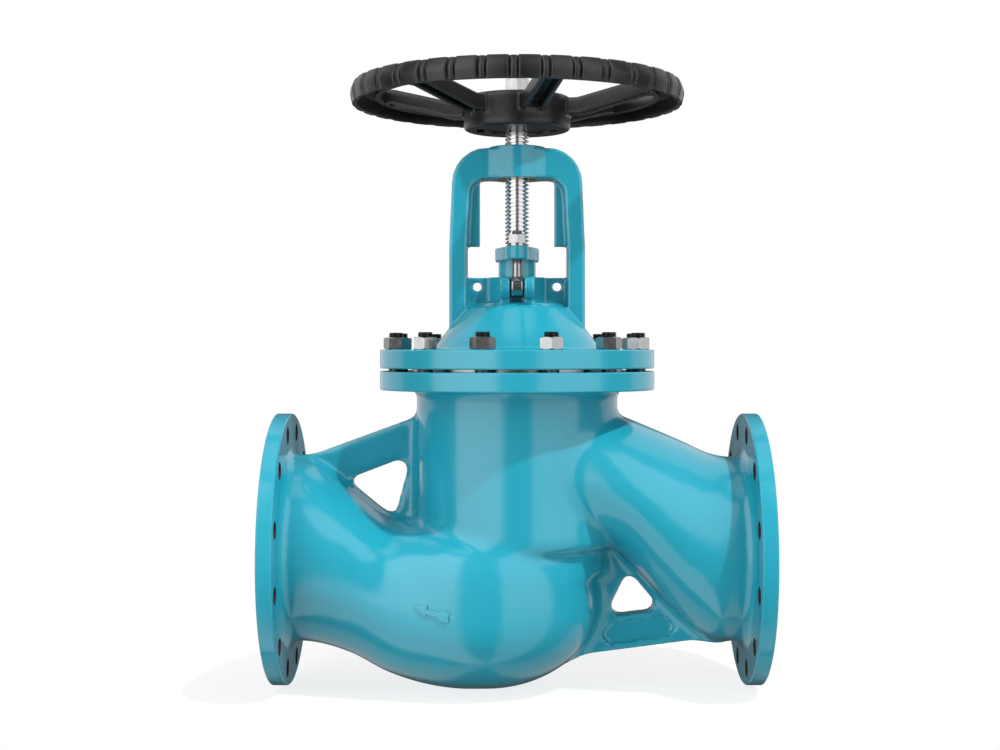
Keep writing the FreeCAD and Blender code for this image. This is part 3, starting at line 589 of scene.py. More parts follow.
def flow_arrow(body):
    """The raised flow arrow, laid on the front of the bowl."""
    tree = BVHTree.FromObject(body, bpy.context.evaluated_depsgraph_get())
    mesh = bmesh.new()
    mesh.faces.new([mesh.verts.new(place((x, 0, z))) for x, z in dense(FLOW_ARROW, 4.0)])
    bmesh.ops.triangulate(mesh, faces=mesh.faces)
    bmesh.ops.subdivide_edges(mesh, edges=mesh.edges, cuts=3, use_grid_fill=True)
    back = set(mesh.verts)
    bmesh.ops.extrude_face_region(mesh, geom=mesh.faces[:], use_keep_orig=True)
    for vertex in mesh.verts:
        front = Vector((vertex.co.x, -1, vertex.co.z))
        surface = tree.ray_cast(front, Vector((0, 1, 0)))[0]
        vertex.co.y = surface.y + (0.004 if vertex in back else -ARROW_HEIGHT / 1000)
    bmesh.ops.recalc_face_normals(mesh, faces=mesh.faces)
    return finished_piece("arrow", mesh)


def body_casting():
    step = 5.0
    margin = 3 * step
    ends = HALF_LENGTH - SKIN_INSET + margin
    grid = Grid((-ends, ends), (-190 - margin, 190 + margin),
                (-207 - margin, BODY_TOP - SKIN_INSET + margin), step)
    points, quads = skin(grid, body_field(grid))
    body = new_piece("body_casting_skin", points, quads)

    low = BODY_TOP - BODY_FLANGE_H
    corners = [(CHAMBER_R, low), (COVER_R, low), (COVER_R, BODY_TOP), (CHAMBER_R, BODY_TOP)]
    cover = turned_ring("cover_flange", rounded(corners, [0, 2.5, 2.5, 1.0], steps=4))
    flanges, holes = [cover], []
    for side in (-1, 1):
        flange, flange_holes = end_flange(side)
        flanges.append(flange)
        holes += flange_holes
    hole_r = STUD_R + 0.6
    holes += [rod("hole", [(low - 3, hole_r), (BODY_TOP + 3, hole_r)], at)
              for at in bolt_circle(BOLT_COUNT, STUD_CIRCLE_R)]
    combine(body, [flow_arrow(body)] + flanges, "UNION")
    combine(body, [merged("holes", holes)], "DIFFERENCE")
    return shade(body)


# ---------------------------------------- bonnet and yoke

def arch_outline(inset, top, corner):
    """The yoke's arch seen from the front, moved in by an inset, open towards the dome."""
    foot_x, top_x, low = YOKE_FOOT_X - inset, YOKE_TOP_X - inset, 240.0
    half = [(foot_x, low), (foot_x, YOKE_SHOULDER), (top_x, top - corner - 2), (top_x, top)]
    radii = [0, 90, 30, corner, corner, 30, 90, 0]
    return rounded(half + [(-x, z) for x, z in reversed(half)], radii)


def dome_fields(grid):
    """The dome with its stuffing box, and the hollow under it, as two fields."""
    slant = math.hypot(DOME_FOOT[0] - DOME_TOP[0], DOME_TOP[1] - DOME_FOOT[1])
    run, rise = (DOME_FOOT[0] - DOME_TOP[0]) / slant, (DOME_TOP[1] - DOME_FOOT[1]) / slant
    inner_foot = (DOME_FOOT[0] - DOME_WALL * rise, DOME_FOOT[1] - DOME_WALL * run)
    roof_r = (DOME_TOP[0] - DOME_WALL * rise
              + (DOME_TOP[1] - DOME_WALL * run - DOME_ROOF) * run / rise)
    shell = [inner_foot, (121, 283), (128, 283), (128, 298.7), (DOME_FOOT[0] + 2.5, 298.7),
             DOME_TOP, (DOME_TOP[0] - 12, DOME_TOP[1] + 7), (STUFFING_OUTER_R, DOME_TOP[1] + 10),
             (STUFFING_OUTER_R, STUFFING_TOP), (STUFFING_R, STUFFING_TOP),
             (STUFFING_R, STUFFING_FLOOR), (STEM_BORE_R, STUFFING_FLOOR),
             (STEM_BORE_R, BACKSEAT_TOP), (BACKSEAT_R, BACKSEAT_TOP),
             (BACKSEAT_R, BACKSEAT_LOW), (STUFFING_OUTER_R + 2.5, BACKSEAT_LOW),
             (STUFFING_OUTER_R + 2.5, DOME_ROOF), (roof_r, DOME_ROOF)]
    root = BONNET_FLANGE_TOP - FLANGE_ROOT
    flange_top = [(121, 282), (150, 282), (150, root), (121, root)]
    inside = [(0, 200), (inner_foot[0] + 8, 200), inner_foot, (roof_r, DOME_ROOF), (0, DOME_ROOF)]
    dome = join(profile_field(grid, grid.radius, shell),
                profile_field(grid, grid.radius, flange_top), 5)
    return dome, profile_field(grid, grid.radius, inside)


def yoke_field(grid):
    """The arch with its ribs, the crosspiece's boss and the webs beside the stuffing box."""
    far_x, far_y = np.abs(grid.x), np.abs(grid.y)
    arch = common(profile_field(grid, grid.x, arch_outline(0, YOKE_TOP, YOKE_CORNER_R)),
                  far_y - YOKE_HALF_DEPTH, 4)
    boss = np.maximum(grid.radius - BOSS_R + 0.6, BUSH_LOW - 12 - grid.z)
    arch = common(join(arch, boss, 12), grid.z - YOKE_TOP, 4)
    window = profile_field(grid, grid.x, arch_outline(YOKE_BAR, BUSH_LOW, YOKE_INNER_R))
    arch = carve(arch, window, 4)
    rib = np.maximum(np.maximum(YOKE_RIB_X - far_x, far_x - (YOKE_FOOT_X - YOKE_BAR + 4)),
                     np.maximum(YOKE_RIB_FOOT - grid.z, grid.z - BUSH_LOW - 6))
    rib = common(rib, far_y - YOKE_RIB_HALF, 3)
    web = np.maximum(np.maximum(STUFFING_R + 4 - far_x, far_x - YOKE_FOOT_X + 10),
                     np.maximum(330 - grid.z, grid.z - STUFFING_TOP))
    hole_x, hole_z, hole_r = BRACKET_HOLE
    web = common(web, far_y - WEB_HALF, 2)
    pocket = profile_field(grid, far_x, rounded(WEB_POCKET, [9, 9, 0, 0]))
    web = carve(web, np.maximum(pocket, WEB_HALF - WEB_POCKET_DEPTH - far_y), 2)
    yoke = join(join(arch, rib, 5), web, 5)
    return carve(yoke, np.hypot(far_x - hole_x, grid.z - hole_z) - hole_r, 1)


def lug_field(grid):
    """The pairs of ears, in front and behind, that hold the eye bolts' pins."""
    far_x, far_y = np.abs(grid.x), np.abs(grid.y)
    tongue = np.maximum(np.maximum(far_y - EYE_Y, STUFFING_R + 4 - far_y),
                        EYE_Z - LUG_R - 14 - grid.z)
    nose = np.hypot(far_y - EYE_Y, grid.z - EYE_Z) - LUG_R
    ears = common(np.minimum(tongue, nose), far_x - LUG_HALF, 3)
    return common(ears, grid.z - EYE_Z - 15, 3)


def bonnet_yoke():
    step = 2.3
    margin = 3 * step
    grid = Grid((-150 - margin, 150 + margin), (-150 - margin, 150 + margin),
                (282 - margin, BOSS_TOP + margin), step)
    far_x, far_y = np.abs(grid.x), np.abs(grid.y)
    dome, inside = dome_fields(grid)
    stuffing = np.maximum(grid.radius - STUFFING_R, STUFFING_FLOOR - grid.z)
    frame_part = carve(carve(join(yoke_field(grid), lug_field(grid), 4), inside, 2), stuffing, 1)
    bonnet = common(join(dome, frame_part, 2.5), grid.z - YOKE_TOP, 1)
    slot = np.maximum(np.maximum(far_x - LUG_SLOT, STUFFING_OUTER_R + 5 - far_y),
                      EYE_Z - LUG_R - 4 - grid.z)
    bonnet = carve(bonnet, np.maximum(slot, grid.z - 430), 2)
    pins = np.hypot(far_y - EYE_Y, grid.z - EYE_Z) - PIN_R - 0.1
    bonnet = carve(bonnet, pins, 1)
    bonnet = carve(bonnet, np.maximum(grid.radius - BUSH_R - 2, BUSH_LOW - 10 - grid.z), 1)
    grub = np.maximum(np.hypot(grid.x, grid.z - GRUB_Z) - GRUB_R, BUSH_R - 3 - grid.y)
    points, quads = skin(grid, carve(bonnet, grub, 1))
    piece = new_piece("bonnet_yoke_skin", points, quads)

    lip_r, lip_top = BUSH_LIP_R + 0.1, BUSH_LOW + BUSH_LIP_H
    corners = [(BUSH_R, lip_top), (lip_r, lip_top), (lip_r, BUSH_LOW), (BOSS_R, BUSH_LOW),
               (BOSS_R, BOSS_TOP), (BUSH_R, BOSS_TOP)]
    boss = turned_ring("boss", rounded(corners, [0, 0, 0.5, 1.5, 1.5, 1.0], steps=4))
    grub_cut = rod("grub", [(BUSH_R - 3, GRUB_R), (BOSS_R + 3, GRUB_R)], (GRUB_Z, 0), axis="y")
    combine(boss, [grub_cut], "DIFFERENCE")
    low, top = BONNET_LOW, BONNET_FLANGE_TOP
    corners = [(CHAMBER_R - 5, low), (COVER_R, low), (COVER_R, top), (117, top), (117, 286)]
    flange = turned_ring("flange", rounded(corners, [0.5, 2.5, 2.5, 0, 0], steps=4))
    holes = [rod("hole", [(low - 3, STUD_R + 1), (top + 3, STUD_R + 1)], at)
             for at in bolt_circle(BOLT_COUNT, STUD_CIRCLE_R)]
    combine(flange, [merged("holes", holes)], "DIFFERENCE")
    return shade(combine(piece, [flange, boss], "UNION"))


def bonnet_studs():
    """Studs with a plain shank and a threaded end that stands above each nut."""
    thread_low = BONNET_FLANGE_TOP - 3
    rows = [(STUD_LOW, STUD_R - 1.5), (STUD_LOW + 1.5, STUD_R), (thread_low - 0.5, STUD_R)]
    rows += thread_rows(STUD_R, thread_low, STUD_TOP, STUD_PITCH)
    return shade(merged("bonnet_studs_skin", [rod("stud", rows, at)
                                              for at in bolt_circle(BOLT_COUNT, STUD_CIRCLE_R)]))


# ---------------------------------------- gland

def gland_flange():
    """The oval gland plate, which narrows to a round end at each eye bolt."""
    grid = Grid((-GLAND_HALF_WIDTH - 4, GLAND_HALF_WIDTH + 4),
                (-GLAND_END_Y - 20, GLAND_END_Y + 20), (GLAND_LOW - 4, GLAND_TOP + 4), 1.0)
    shoulder = 12.0
    half = [(GLAND_HALF_WIDTH, -shoulder), (GLAND_HALF_WIDTH, shoulder), (GLAND_END_R, GLAND_END_Y),
            (-GLAND_END_R, GLAND_END_Y)]
    outline = half + [(-x, -y) for x, y in half]
    plan = join(polygon_field(grid.x, grid.y, rounded(outline, [4] * 8)),
                np.hypot(grid.x, np.abs(grid.y) - GLAND_END_Y) - GLAND_END_R, 3)
    holes = np.minimum(np.hypot(grid.x, np.abs(grid.y) - EYE_Y) - EYE_BOLT_R - 0.5,
                       grid.radius - 19)
    middle, half_height = (GLAND_LOW + GLAND_TOP) / 2, (GLAND_TOP - GLAND_LOW) / 2
    plate = common(plan, np.abs(grid.z - middle) - half_height, 3.5)
    return shade(new_piece("gland_flange_skin", *skin(grid, carve(plate, holes, 1))))


def eye_bolt(side, name):
    """A swing bolt: an eye round the pin, a plain neck and a threaded end."""
    centre_y = side * EYE_Y
    neck_top = 427.0
    grid = Grid((-EYE_HALF - 3, EYE_HALF + 3), (centre_y - EYE_R - 3, centre_y + EYE_R + 3),
                (EYE_Z - EYE_R - 3, neck_top + 3), 1.0)
    eye = np.hypot(grid.y - centre_y, grid.z - EYE_Z)
    blank = common(eye - EYE_R, np.abs(grid.x) - EYE_HALF, 4)
    shank = np.maximum(np.hypot(grid.x, grid.y - centre_y) - EYE_BOLT_R + 0.7,
                       np.maximum(EYE_Z - grid.z, grid.z - neck_top))
    field = carve(join(blank, shank, 5), eye - PIN_R - 0.1, 1.5)
    piece = new_piece(name, *skin(grid, field))
    rows = thread_rows(EYE_BOLT_R, neck_top - 3, EYE_BOLT_TOP, EYE_BOLT_PITCH)
    thread = rod("thread", rows, (0, centre_y))
    return shade(combine(piece, [thread], "UNION"))


# ---------------------------------------- handwheel

# How deep the rim's face lies, by degrees from the middle of a grip: a round ridge between two
# creases, which runs out into a shallow pocket over the top edge.
GRIP_AT = (0, 0.3, 0.55, 0.8, 1.0, 1.15, 1.28, 1.4, 1.52, 1.66, 1.82, 2.0, 2.3, 3.5)
GRIP_FACE_DEPTH = (0.5, 0.6, 0.9, 1.5, 2.3, 3.2, 3.8, 3.3, 2.1, 1.0, 0.4, 0.15, 0, 0)
GRIP_TOP_DEPTH = (1.0, 1.0, 1.1, 1.3, 1.6, 1.9, 2.1, 1.8, 1.2, 0.6, 0.25, 0.1, 0, 0)


def ease(value):
    value = np.clip(value, 0, 1)
    return value * value * (3 - 2 * value)


def dense(outline, gap):
    """A closed outline with points added so that no step is longer than the gap."""
    points = []
    for start, end in zip(outline, outline[1:] + outline[:1]):
        pieces = max(1, math.ceil(math.dist(start, end) / gap))
        points += [tuple(np.array(start) + (np.array(end) - start) * k / pieces)
                   for k in range(pieces)]
    return points


def wheel_rim():
    """An inverted channel whose outer wall has grooves, each with a low ridge in it, for grip."""
    outer, inner, top = WHEEL_R, RIM_INNER_R, RIM_TOP
    corners = [(outer - 3, RIM_LOW), (outer, RIM_LOW + 13), (outer, top - 14), (outer - 6, top),
               (inner, top), (inner, RIM_INNER_FOOT), (inner + RIM_WALL - 1, RIM_INNER_FOOT),
               (inner + RIM_WALL, top - RIM_WALL), (outer - RIM_WALL - 2, top - RIM_WALL),
               (outer - RIM_WALL - 1, RIM_LOW)]
    outline = dense(rounded(corners, [2, 20, 16, 4, 5, 1.8, 1.5, 3, 3, 1.8], steps=2), 9.0)
    profile = np.array(outline)
    along = np.roll(profile, -1, axis=0) - np.roll(profile, 1, axis=0)
    normal = np.stack([along[:, 1], -along[:, 0]], axis=1) / np.linalg.norm(along, axis=1)[:, None]
    radius, height = profile[:, 0], profile[:, 1]
    edge = np.where(height > top - RIM_WALL, ease((radius - outer + 14) / 8),
                    ease((radius - outer + 8) / 4))
    face = ease((height - RIM_LOW - 1) / 3) * ease((top - 5 - height) / 3)

    stations = [-a for a in reversed(GRIP_AT[1:])] + list(GRIP_AT) + [180 / GRIP_COUNT]
    rows = []
    for k in range(GRIP_COUNT):
        for station in stations:
            on_face = np.interp(abs(station), GRIP_AT, GRIP_FACE_DEPTH)
            on_top = np.interp(abs(station), GRIP_AT, GRIP_TOP_DEPTH)
            shift = -edge * (on_top + (on_face - on_top) * face)
            angle = math.radians(GRIP_FIRST + 360 * k / GRIP_COUNT + station)
            r, z = radius + shift * normal[:, 0], height + shift * normal[:, 1]
            rows.append(np.stack([r * math.cos(angle), r * math.sin(angle), z], axis=1))
    faces = ring_faces(len(rows), len(outline), flip=True)
    return new_piece("rim", np.concatenate(rows), faces)


def spoke_field(grid, turn):
    """One channel-shaped spoke, open below, that rises from the hub to the rim."""
    cos, sin = math.cos(math.radians(turn)), math.sin(math.radians(turn))
    along, across = grid.x * cos + grid.y * sin, np.abs(grid.y * cos - grid.x * sin)
    hub_x, rim_x, rim_top = HUB_R - 12, RIM_INNER_R + 4, RIM_TOP - 1.5
    top = [(hub_x, HUB_TOP - 5), (HUB_R + 16, HUB_TOP - 5), (rim_x - 17, rim_top), (rim_x, rim_top)]
    foot = [(rim_x, RIM_INNER_FOOT), (rim_x - 15, RIM_INNER_FOOT), (HUB_R + 20, HUB_LOW + 21),
            (hub_x, HUB_LOW + 21)]
    under = [(x, z - SPOKE_ROOF) for x, z in top]
    hollow = [(HUB_R, 600), (HUB_R, under[0][1]), under[1], under[2],
              (RIM_INNER_R - 1, under[3][1]), (RIM_INNER_R - 1, 600)]
    bar = common(profile_field(grid, along, top + foot), across - SPOKE_HALF, 4)
    trough = common(profile_field(grid, along, hollow), across - SPOKE_HALF + SPOKE_WALL, 3)
    return carve(bar, trough, 3)


def handwheel():
    step = 2.3
    reach = RIM_INNER_R + 4 + 3 * step
    grid = Grid((-reach, reach), (-reach, reach), (HUB_LOW - 3 * step, RIM_TOP + 3 * step), step)
    middle, half = (HUB_LOW + HUB_TOP) / 2, (HUB_TOP - HUB_LOW) / 2
    wheel = common(grid.radius - HUB_R, np.abs(grid.z - middle) - half, 7)
    for k in range(SPOKE_COUNT):
        wheel = join(wheel, spoke_field(grid, SPOKE_FIRST + 360 / SPOKE_COUNT * k), 4)
    wheel = np.maximum(wheel, HUB_BORE_R - 2 - grid.radius)
    piece = new_piece("handwheel_skin", *skin(grid, wheel))
    recess = HUB_LOW + HUB_RECESS_H
    cuts = [rod("recess", [(HUB_LOW - 2, HUB_RECESS_R), (recess, HUB_RECESS_R - 1)], sides=96),
            rod("bore", [(recess - 1, HUB_BORE_R), (HUB_TOP + 2, HUB_BORE_R)], sides=64)]
    for x, width, length in HUB_SLOTS:
        corners = [(x + i * width / 2, j * length / 2)
                   for i, j in ((-1, -1), (1, -1), (1, 1), (-1, 1))]
        cuts.append(prism("slot", rounded(corners, [3] * 4), HUB_LOW - 2,
                          HUB_LOW + HUB_SLOT_DEPTH))
    combine(piece, cuts, "DIFFERENCE")
    return shade(combine(piece, [wheel_rim()], "UNION"))


# ---------------------------------------- materials

def math_node(tree, operation, *values):
    """A math node fed with numbers and other nodes' outputs."""
    node = tree.nodes.new("ShaderNodeMath")
    node.operation = operation
    for socket, value in zip(node.inputs, values):
        if isinstance(value, (int, float)):
            socket.default_value = value
        else:
            tree.links.new(value, socket)
    return node.outputs[0]


class Finish:
    """A node material whose nodes read the object's own coordinates."""

    def __init__(self, name):
        self.material = bpy.data.materials.new(name)
        self.material.use_nodes = True
        self.tree = self.material.node_tree
        self.shader = self.tree.nodes["Principled BSDF"]
        self.place = self.tree.nodes.new("ShaderNodeTexCoord").outputs["Object"]

    def link(self, output, target):
        self.tree.links.new(output, target)

    def feed(self, key, output):
        """Drive one of the shader's inputs with a node's output."""
        self.link(output, self.shader.inputs[key])

    def stretched(self, scale):
        """Coordinates stretched by a scale along each axis, about the stem axis."""
        mapping = self.tree.nodes.new("ShaderNodeMapping")
        mapping.inputs["Location"].default_value = [-AXIS_X * scale[0], 0, 0]
        mapping.inputs["Scale"].default_value = scale
        self.link(self.place, mapping.inputs["Vector"])
        return mapping.outputs["Vector"]

    def noise(self, scale, detail=2.0, place=None):
        node = self.tree.nodes.new("ShaderNodeTexNoise")
        node.inputs["Scale"].default_value = scale
        node.inputs["Detail"].default_value = detail
        self.link(place or self.place, node.inputs["Vector"])
        return node.outputs["Fac"]

    def remap(self, value, from_low, from_high, low, high):
        node = self.tree.nodes.new("ShaderNodeMapRange")
        for key, number in zip(("From Min", "From Max", "To Min", "To Max"),
                               (from_low, from_high, low, high)):
            node.inputs[key].default_value = number
        self.link(value, node.inputs["Value"])
        return node.outputs["Result"]

    def mix(self, factor, first, second):
        """A colour between two others, each a colour or another node's output."""
        node = self.tree.nodes.new("ShaderNodeMix")
        node.data_type = "RGBA"
        self.link(factor, node.inputs["Factor"])
        for key, colour in (("A", first), ("B", second)):
            socket = next(i for i in node.inputs if i.name == key and i.type == "RGBA")
            if isinstance(colour, tuple):
                socket.default_value = (*colour, 1)
            else:
                self.link(colour, socket)
        return next(o for o in node.outputs if o.type == "RGBA")

    def flange_holes(self):
        """1 on the walls of the pipe flanges' bolt holes and 0 elsewhere: the mask of the painted
        shade in the holes.
        """
        split = self.tree.nodes.new("ShaderNodeSeparateXYZ")
        self.link(self.place, split.inputs[0])
        x, y, z = split.outputs
        math_of = partial(math_node, self.tree)
        radius = math_of("SQRT", math_of("MULTIPLY_ADD", y, y, math_of("MULTIPLY", z, z)))
        spacing = 2 * math.pi / BOLT_COUNT
        turn = math_of("FLOORED_MODULO", math_of("ARCTAN2", z, y), spacing)
        turn = math_of("SUBTRACT", turn, spacing / 2)
        along = math_of("MULTIPLY_ADD", radius, math_of("COSINE", turn), -END_HOLE_CIRCLE_R / 1000)
        across = math_of("MULTIPLY", radius, math_of("SINE", turn))
        away = math_of("MULTIPLY_ADD", along, along, math_of("MULTIPLY", across, across))
        away = math_of("SQRT", away)
        near_hole = math_of("LESS_THAN", away, (END_HOLE_R + 0.3) / 1000)
        far_x = math_of("ABSOLUTE", math_of("SUBTRACT", x, AXIS_X))
        in_flange = math_of("GREATER_THAN", far_x, (END_FLANGE_BACK - 1) / 1000)
        return math_of("MULTIPLY", near_hole, in_flange)

    def bump(self, *layers):
        """Stack bumps given as (height, strength, distance in metres)."""
        normal = None
        for height, strength, distance in layers:
            node = self.tree.nodes.new("ShaderNodeBump")
            node.inputs["Strength"].default_value = strength
            node.inputs["Distance"].default_value = distance
            self.link(height, node.inputs["Height"])
            if normal:
                self.link(normal, node.inputs["Normal"])
            normal = node.outputs["Normal"]
        self.feed("Normal", normal)

    def edges(self):
        """About 1 on outward edges and 0 elsewhere: where the paints and metals get a painted
        highlight.
        """
        geometry = self.tree.nodes.new("ShaderNodeNewGeometry")
        return self.remap(geometry.outputs["Pointiness"], 0.52, 0.6, 0, 1)

    def set(self, **values):
        for key, value in values.items():
            self.shader.inputs[key.replace("_", " ")].default_value = value


def teal_paint():
    finish = Finish("teal_paint")
    broad = finish.remap(finish.noise(7, 3), 0.35, 0.65, 0, 1)
    tone = finish.mix(broad, (0.014, 0.295, 0.40), (0.018, 0.315, 0.42))
    # Outward edges are painted a paler teal: a painted highlight, not wear.
    tone = finish.mix(finish.edges(), tone, (0.05, 0.37, 0.47))
    # The bolt-hole walls of the pipe flanges are painted near black: partly the colour of their
    # unpainted metal, partly painted shade inside the holes.
    tone = finish.mix(finish.flange_holes(), tone, (0.035, 0.028, 0.025))
    finish.feed("Base Color", tone)
    finish.feed("Roughness", finish.remap(finish.noise(60, 3), 0.3, 0.7, 0.17, 0.25))
    finish.set(Coat_Weight=0.5, Coat_Roughness=0.07, IOR=1.42)
    finish.bump((finish.noise(110, 2), 0.05, 0.001), (finish.noise(420, 2), 0.03, 0.0006))
    return finish.material


def black_paint():
    finish = Finish("black_paint")
    tone = finish.mix(finish.remap(finish.noise(30, 4), 0.35, 0.65, 0, 1), (0.005, 0.005, 0.0052),
                      (0.009, 0.009, 0.0093))
    # Outward edges are painted a lighter grey: a painted highlight, not wear.
    tone = finish.mix(finish.edges(), tone, (0.045, 0.046, 0.048))
    finish.feed("Base Color", tone)
    finish.feed("Roughness", finish.remap(finish.noise(90, 4), 0.3, 0.7, 0.28, 0.38))
    finish.bump((finish.noise(350, 3), 0.08, 0.0006), (finish.noise(1500, 2), 0.05, 0.0003))
    return finish.material


def turned_metal(name, dark, light, rough, rings, grain=0.12):
    """Machined metal with fine marks round Z; rings is how fine they are, per metre."""
    finish = Finish(name)
    marks = finish.noise(1.0, 3, finish.stretched((14, 14, rings)))
    patches = finish.noise(45, 3)
    tone = finish.mix(finish.remap(marks, 0.3, 0.7, 0, 1), dark, light)
    finish.feed("Base Color", tone)
    finish.feed("Roughness", finish.remap(patches, 0.3, 0.7, rough * 0.8, rough * 1.25))
    finish.set(Metallic=1.0)
    finish.bump((marks, grain, 0.00006))
    return finish.material


def plain_metal(name, dark, light, rough, grain):
    """Forged, plated or blackened metal with a fine grain, and outward edges painted brighter as a
    painted highlight.
    """
    finish = Finish(name)
    tone = finish.mix(finish.remap(finish.noise(70, 4), 0.3, 0.7, 0, 1), dark, light)
    # Outward edges are painted brighter: a painted highlight.
    edge_highlight = tuple(1.15 * c + 0.01 for c in light)
    tone = finish.mix(finish.edges(), tone, edge_highlight)
    finish.feed("Base Color", tone)
    finish.feed("Roughness", finish.remap(finish.noise(160, 3), 0.3, 0.7, rough * 0.8, rough * 1.2))
    finish.set(Metallic=1.0)
    finish.bump((finish.noise(700, 3), grain, 0.00005))
    return finish.material


def graphite():
    finish = Finish("packing_graphite")
    weave = finish.noise(500, 3, finish.stretched((1, 1, 3)))
    tone = finish.mix(finish.remap(weave, 0.3, 0.7, 0, 1), (0.012, 0.012, 0.013),
                      (0.05, 0.05, 0.052))
    finish.feed("Base Color", tone)
    finish.feed("Roughness", finish.remap(weave, 0.3, 0.7, 0.35, 0.6))
    finish.set(Metallic=0.3)
    finish.bump((weave, 0.4, 0.0005))
    return finish.material


def floor_paint():
    finish = Finish("studio_floor")
    broad = finish.remap(finish.noise(2, 2), 0.3, 0.7, 0, 1)
    tone = finish.mix(broad, (0.19, 0.19, 0.19), (0.21, 0.21, 0.21))
    finish.feed("Base Color", tone)
    finish.set(Roughness=0.9, IOR=1.2, Emission_Color=(1, 1, 1, 1), Emission_Strength=0.80)
    return finish.material


MATERIALS = {
    "teal_paint": teal_paint(),
    "black_paint": black_paint(),
    "stem_steel": turned_metal("stem_steel", (0.55, 0.55, 0.56), (0.74, 0.74, 0.75), 0.2, 2600),
    "bright_steel": plain_metal("bright_steel", (0.30, 0.30, 0.305), (0.34, 0.34, 0.345), 0.2, 0.03),
    "nut_steel": plain_metal("nut_steel", (0.27, 0.27, 0.275), (0.31, 0.31, 0.315), 0.24, 0.03),
    "dark_steel": plain_metal("dark_steel", (0.045, 0.045, 0.047), (0.075, 0.075, 0.078), 0.38, 0.1),
    "cast_steel": turned_metal("cast_steel", (0.28, 0.28, 0.29), (0.38, 0.38, 0.39), 0.38, 900, 0.2),
    "seat_alloy": turned_metal("seat_alloy", (0.55, 0.53, 0.50), (0.70, 0.68, 0.65), 0.24, 1800),
    "gasket_metal": turned_metal("gasket_metal", (0.35, 0.35, 0.35), (0.62, 0.62, 0.62), 0.3, 3000),
    "bronze": turned_metal("bronze", (0.50, 0.31, 0.12), (0.66, 0.44, 0.20), 0.28, 1500),
    "packing_graphite": graphite(),
}


def dress(piece, slot):
    """Give a piece the material of one of the record's slots."""
    piece.data.materials.clear()
    piece.data.materials.append(MATERIALS[slot])
    for polygon in piece.data.polygons:
        polygon.material_index = 0
    return piece


NEW_PIECES = [
    (body_casting(), "root", "body_casting"),
    (bonnet_yoke(), "root", "bonnet_yoke"),
    (bonnet_studs(), "root", "bonnet_studs"),
    (gland_flange(), "gland", "gland_flange"),
    (eye_bolt(-1, "eye_bolt_front_skin"), "root", "eye_bolt_front"),
    (eye_bolt(1, "eye_bolt_back_skin"), "root", "eye_bolt_back"),
    (handwheel(), "stem", "handwheel"),
]
slot_of = {part["node"]: part["material_slot"] for part in frame["record"]["subparts"]}
replaced = {node for _, _, node in NEW_PIECES}
for piece, rides_on, node in NEW_PIECES:
    dress(piece, slot_of[node])
    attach(piece, rides_on)
    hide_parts(node)
for node, cad_piece in frame["nodes"].items():
    if node not in replaced:
        dress(cad_piece, slot_of[node])

# ---------------------------------------- studio

FLOOR_SIZE = 1.0
KEY_FROM, KEY_STRENGTH = (0.5, -0.48, 1.0), 2.3
# Brightness of the surroundings by bearing in degrees, 0 at the camera and positive to the right.
PANELS = ((-180, 0.12), (-169, 0.12), (-164, 0.8), (-112, 0.8), (-106, 0.2), (-76, 0.2), (-70, 2.2),
          (-20, 2.2), (-12, 0.15), (14, 0.15), (20, 1.5), (70, 1.5), (77, 0.2), (106, 0.2), (112, 0.8),
          (164, 0.8), (169, 0.12), (180, 0.12))
PANEL_TOP_LEVEL = 2.2
# Their share by height, from 0 straight down over 0.5 at the horizon to 1 straight up.
PANEL_HEIGHT = ((0.40, 0.62), (0.44, 1.0), (0.93, 1.0), (0.95, 0.1))
ROOF = ((0.75, 0.0), (0.965, 0.1), (0.98, 0.9))
KEY_ANGLE = 2.0
CAMERA_BACK, CAMERA_HEIGHT = 2.350, 0.298
LENS, LENS_SHIFT = 56.1, (-0.0171, -0.0247)


def studio_floor():
    bpy.ops.mesh.primitive_circle_add(vertices=96, radius=FLOOR_SIZE / 2, fill_type="NGON",
                                      location=(AXIS_X, 0, cad_low.z))
    floor = bpy.context.object
    floor.name = "studio_floor"
    floor.data.materials.append(floor_paint())
    floor.visible_diffuse = floor.visible_glossy = False


def key_light():
    """One small hard lamp from the upper right, which gives the crisp shadow edges."""
    lamp = bpy.data.lights.new("key", "SUN")
    lamp.energy = KEY_STRENGTH
    lamp.angle = math.radians(KEY_ANGLE)
    holder = add_object("key", lamp)
    holder.rotation_euler = (-Vector(KEY_FROM)).to_track_quat("-Z", "Y").to_euler()
    holder.visible_glossy = False


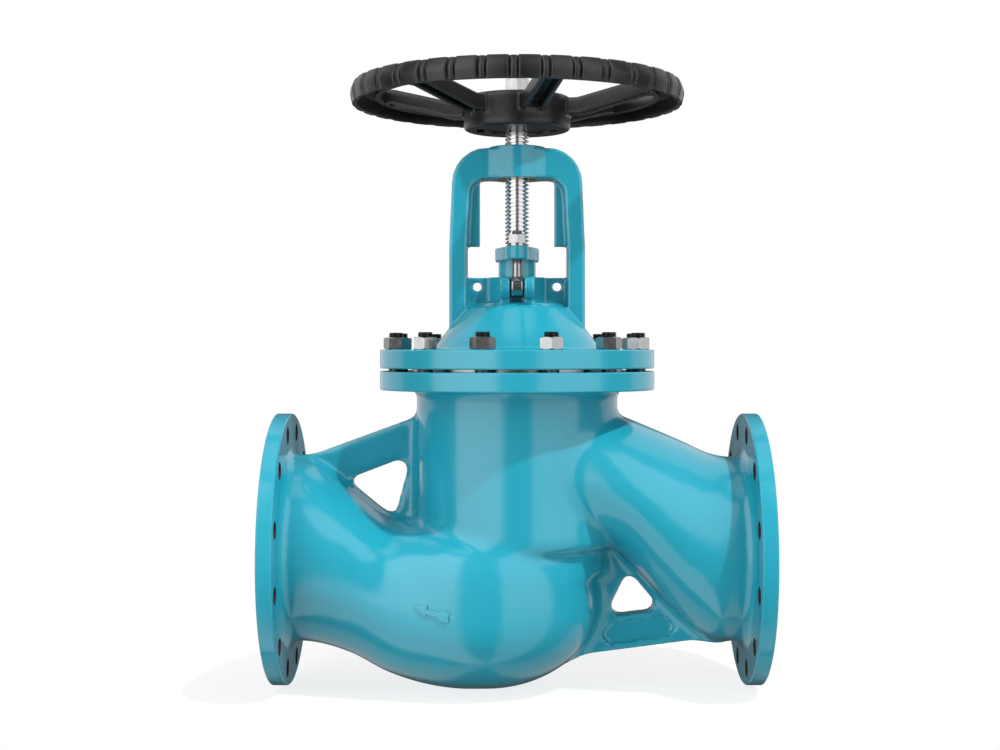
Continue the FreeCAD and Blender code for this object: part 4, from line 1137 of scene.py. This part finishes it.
def studio_world():
    """White where the camera sees it; everything else is lit by bright and dark upright panels."""
    world = bpy.data.worlds.new("studio")
    bpy.context.scene.world = world
    world.use_nodes = True
    tree = world.node_tree
    nodes, links = tree.nodes, tree.links

    def ramp(value, stops):
        node = nodes.new("ShaderNodeValToRGB")
        elements = node.color_ramp.elements
        while len(elements) < len(stops):
            elements.new(0.5)
        for element, (position, grey) in zip(elements, stops):
            element.position = position
            element.color = (grey, grey, grey, 1)
        links.new(value, node.inputs["Fac"])
        return node.outputs["Color"]

    split = nodes.new("ShaderNodeSeparateXYZ")
    links.new(nodes.new("ShaderNodeTexCoord").outputs["Generated"], split.inputs[0])
    toward = math_node(tree, "MULTIPLY", split.outputs["Y"], -1)
    bearing = math_node(tree, "ARCTAN2", split.outputs["X"], toward)
    turn = math_node(tree, "MULTIPLY_ADD", bearing, 0.5 / math.pi, 0.5)
    panels = ramp(turn, [((degrees + 180) / 360, level / PANEL_TOP_LEVEL)
                         for degrees, level in PANELS])
    up = math_node(tree, "MULTIPLY_ADD", split.outputs["Z"], 0.5, 0.5)
    height, roof = ramp(up, PANEL_HEIGHT), ramp(up, ROOF)
    level = math_node(tree, "MULTIPLY", panels, height)
    level = math_node(tree, "MULTIPLY", level, PANEL_TOP_LEVEL)
    level = math_node(tree, "ADD", level, roof)
    seen = nodes.new("ShaderNodeMix")
    links.new(nodes.new("ShaderNodeLightPath").outputs["Is Camera Ray"], seen.inputs[0])
    links.new(level, seen.inputs[2])
    seen.inputs[3].default_value = 1.0
    links.new(seen.outputs[0], nodes["Background"].inputs["Color"])


def camera():
    data = bpy.data.cameras.new("camera")
    data.lens = LENS
    data.shift_x, data.shift_y = LENS_SHIFT
    holder = add_object("camera", data)
    holder.location = (AXIS_X, -CAMERA_BACK, CAMERA_HEIGHT)
    holder.rotation_euler = (math.radians(90), 0, 0)
    bpy.context.scene.camera = holder


studio_floor()
studio_world()
key_light()
camera()
bpy.context.scene.view_settings.view_transform = "Standard"
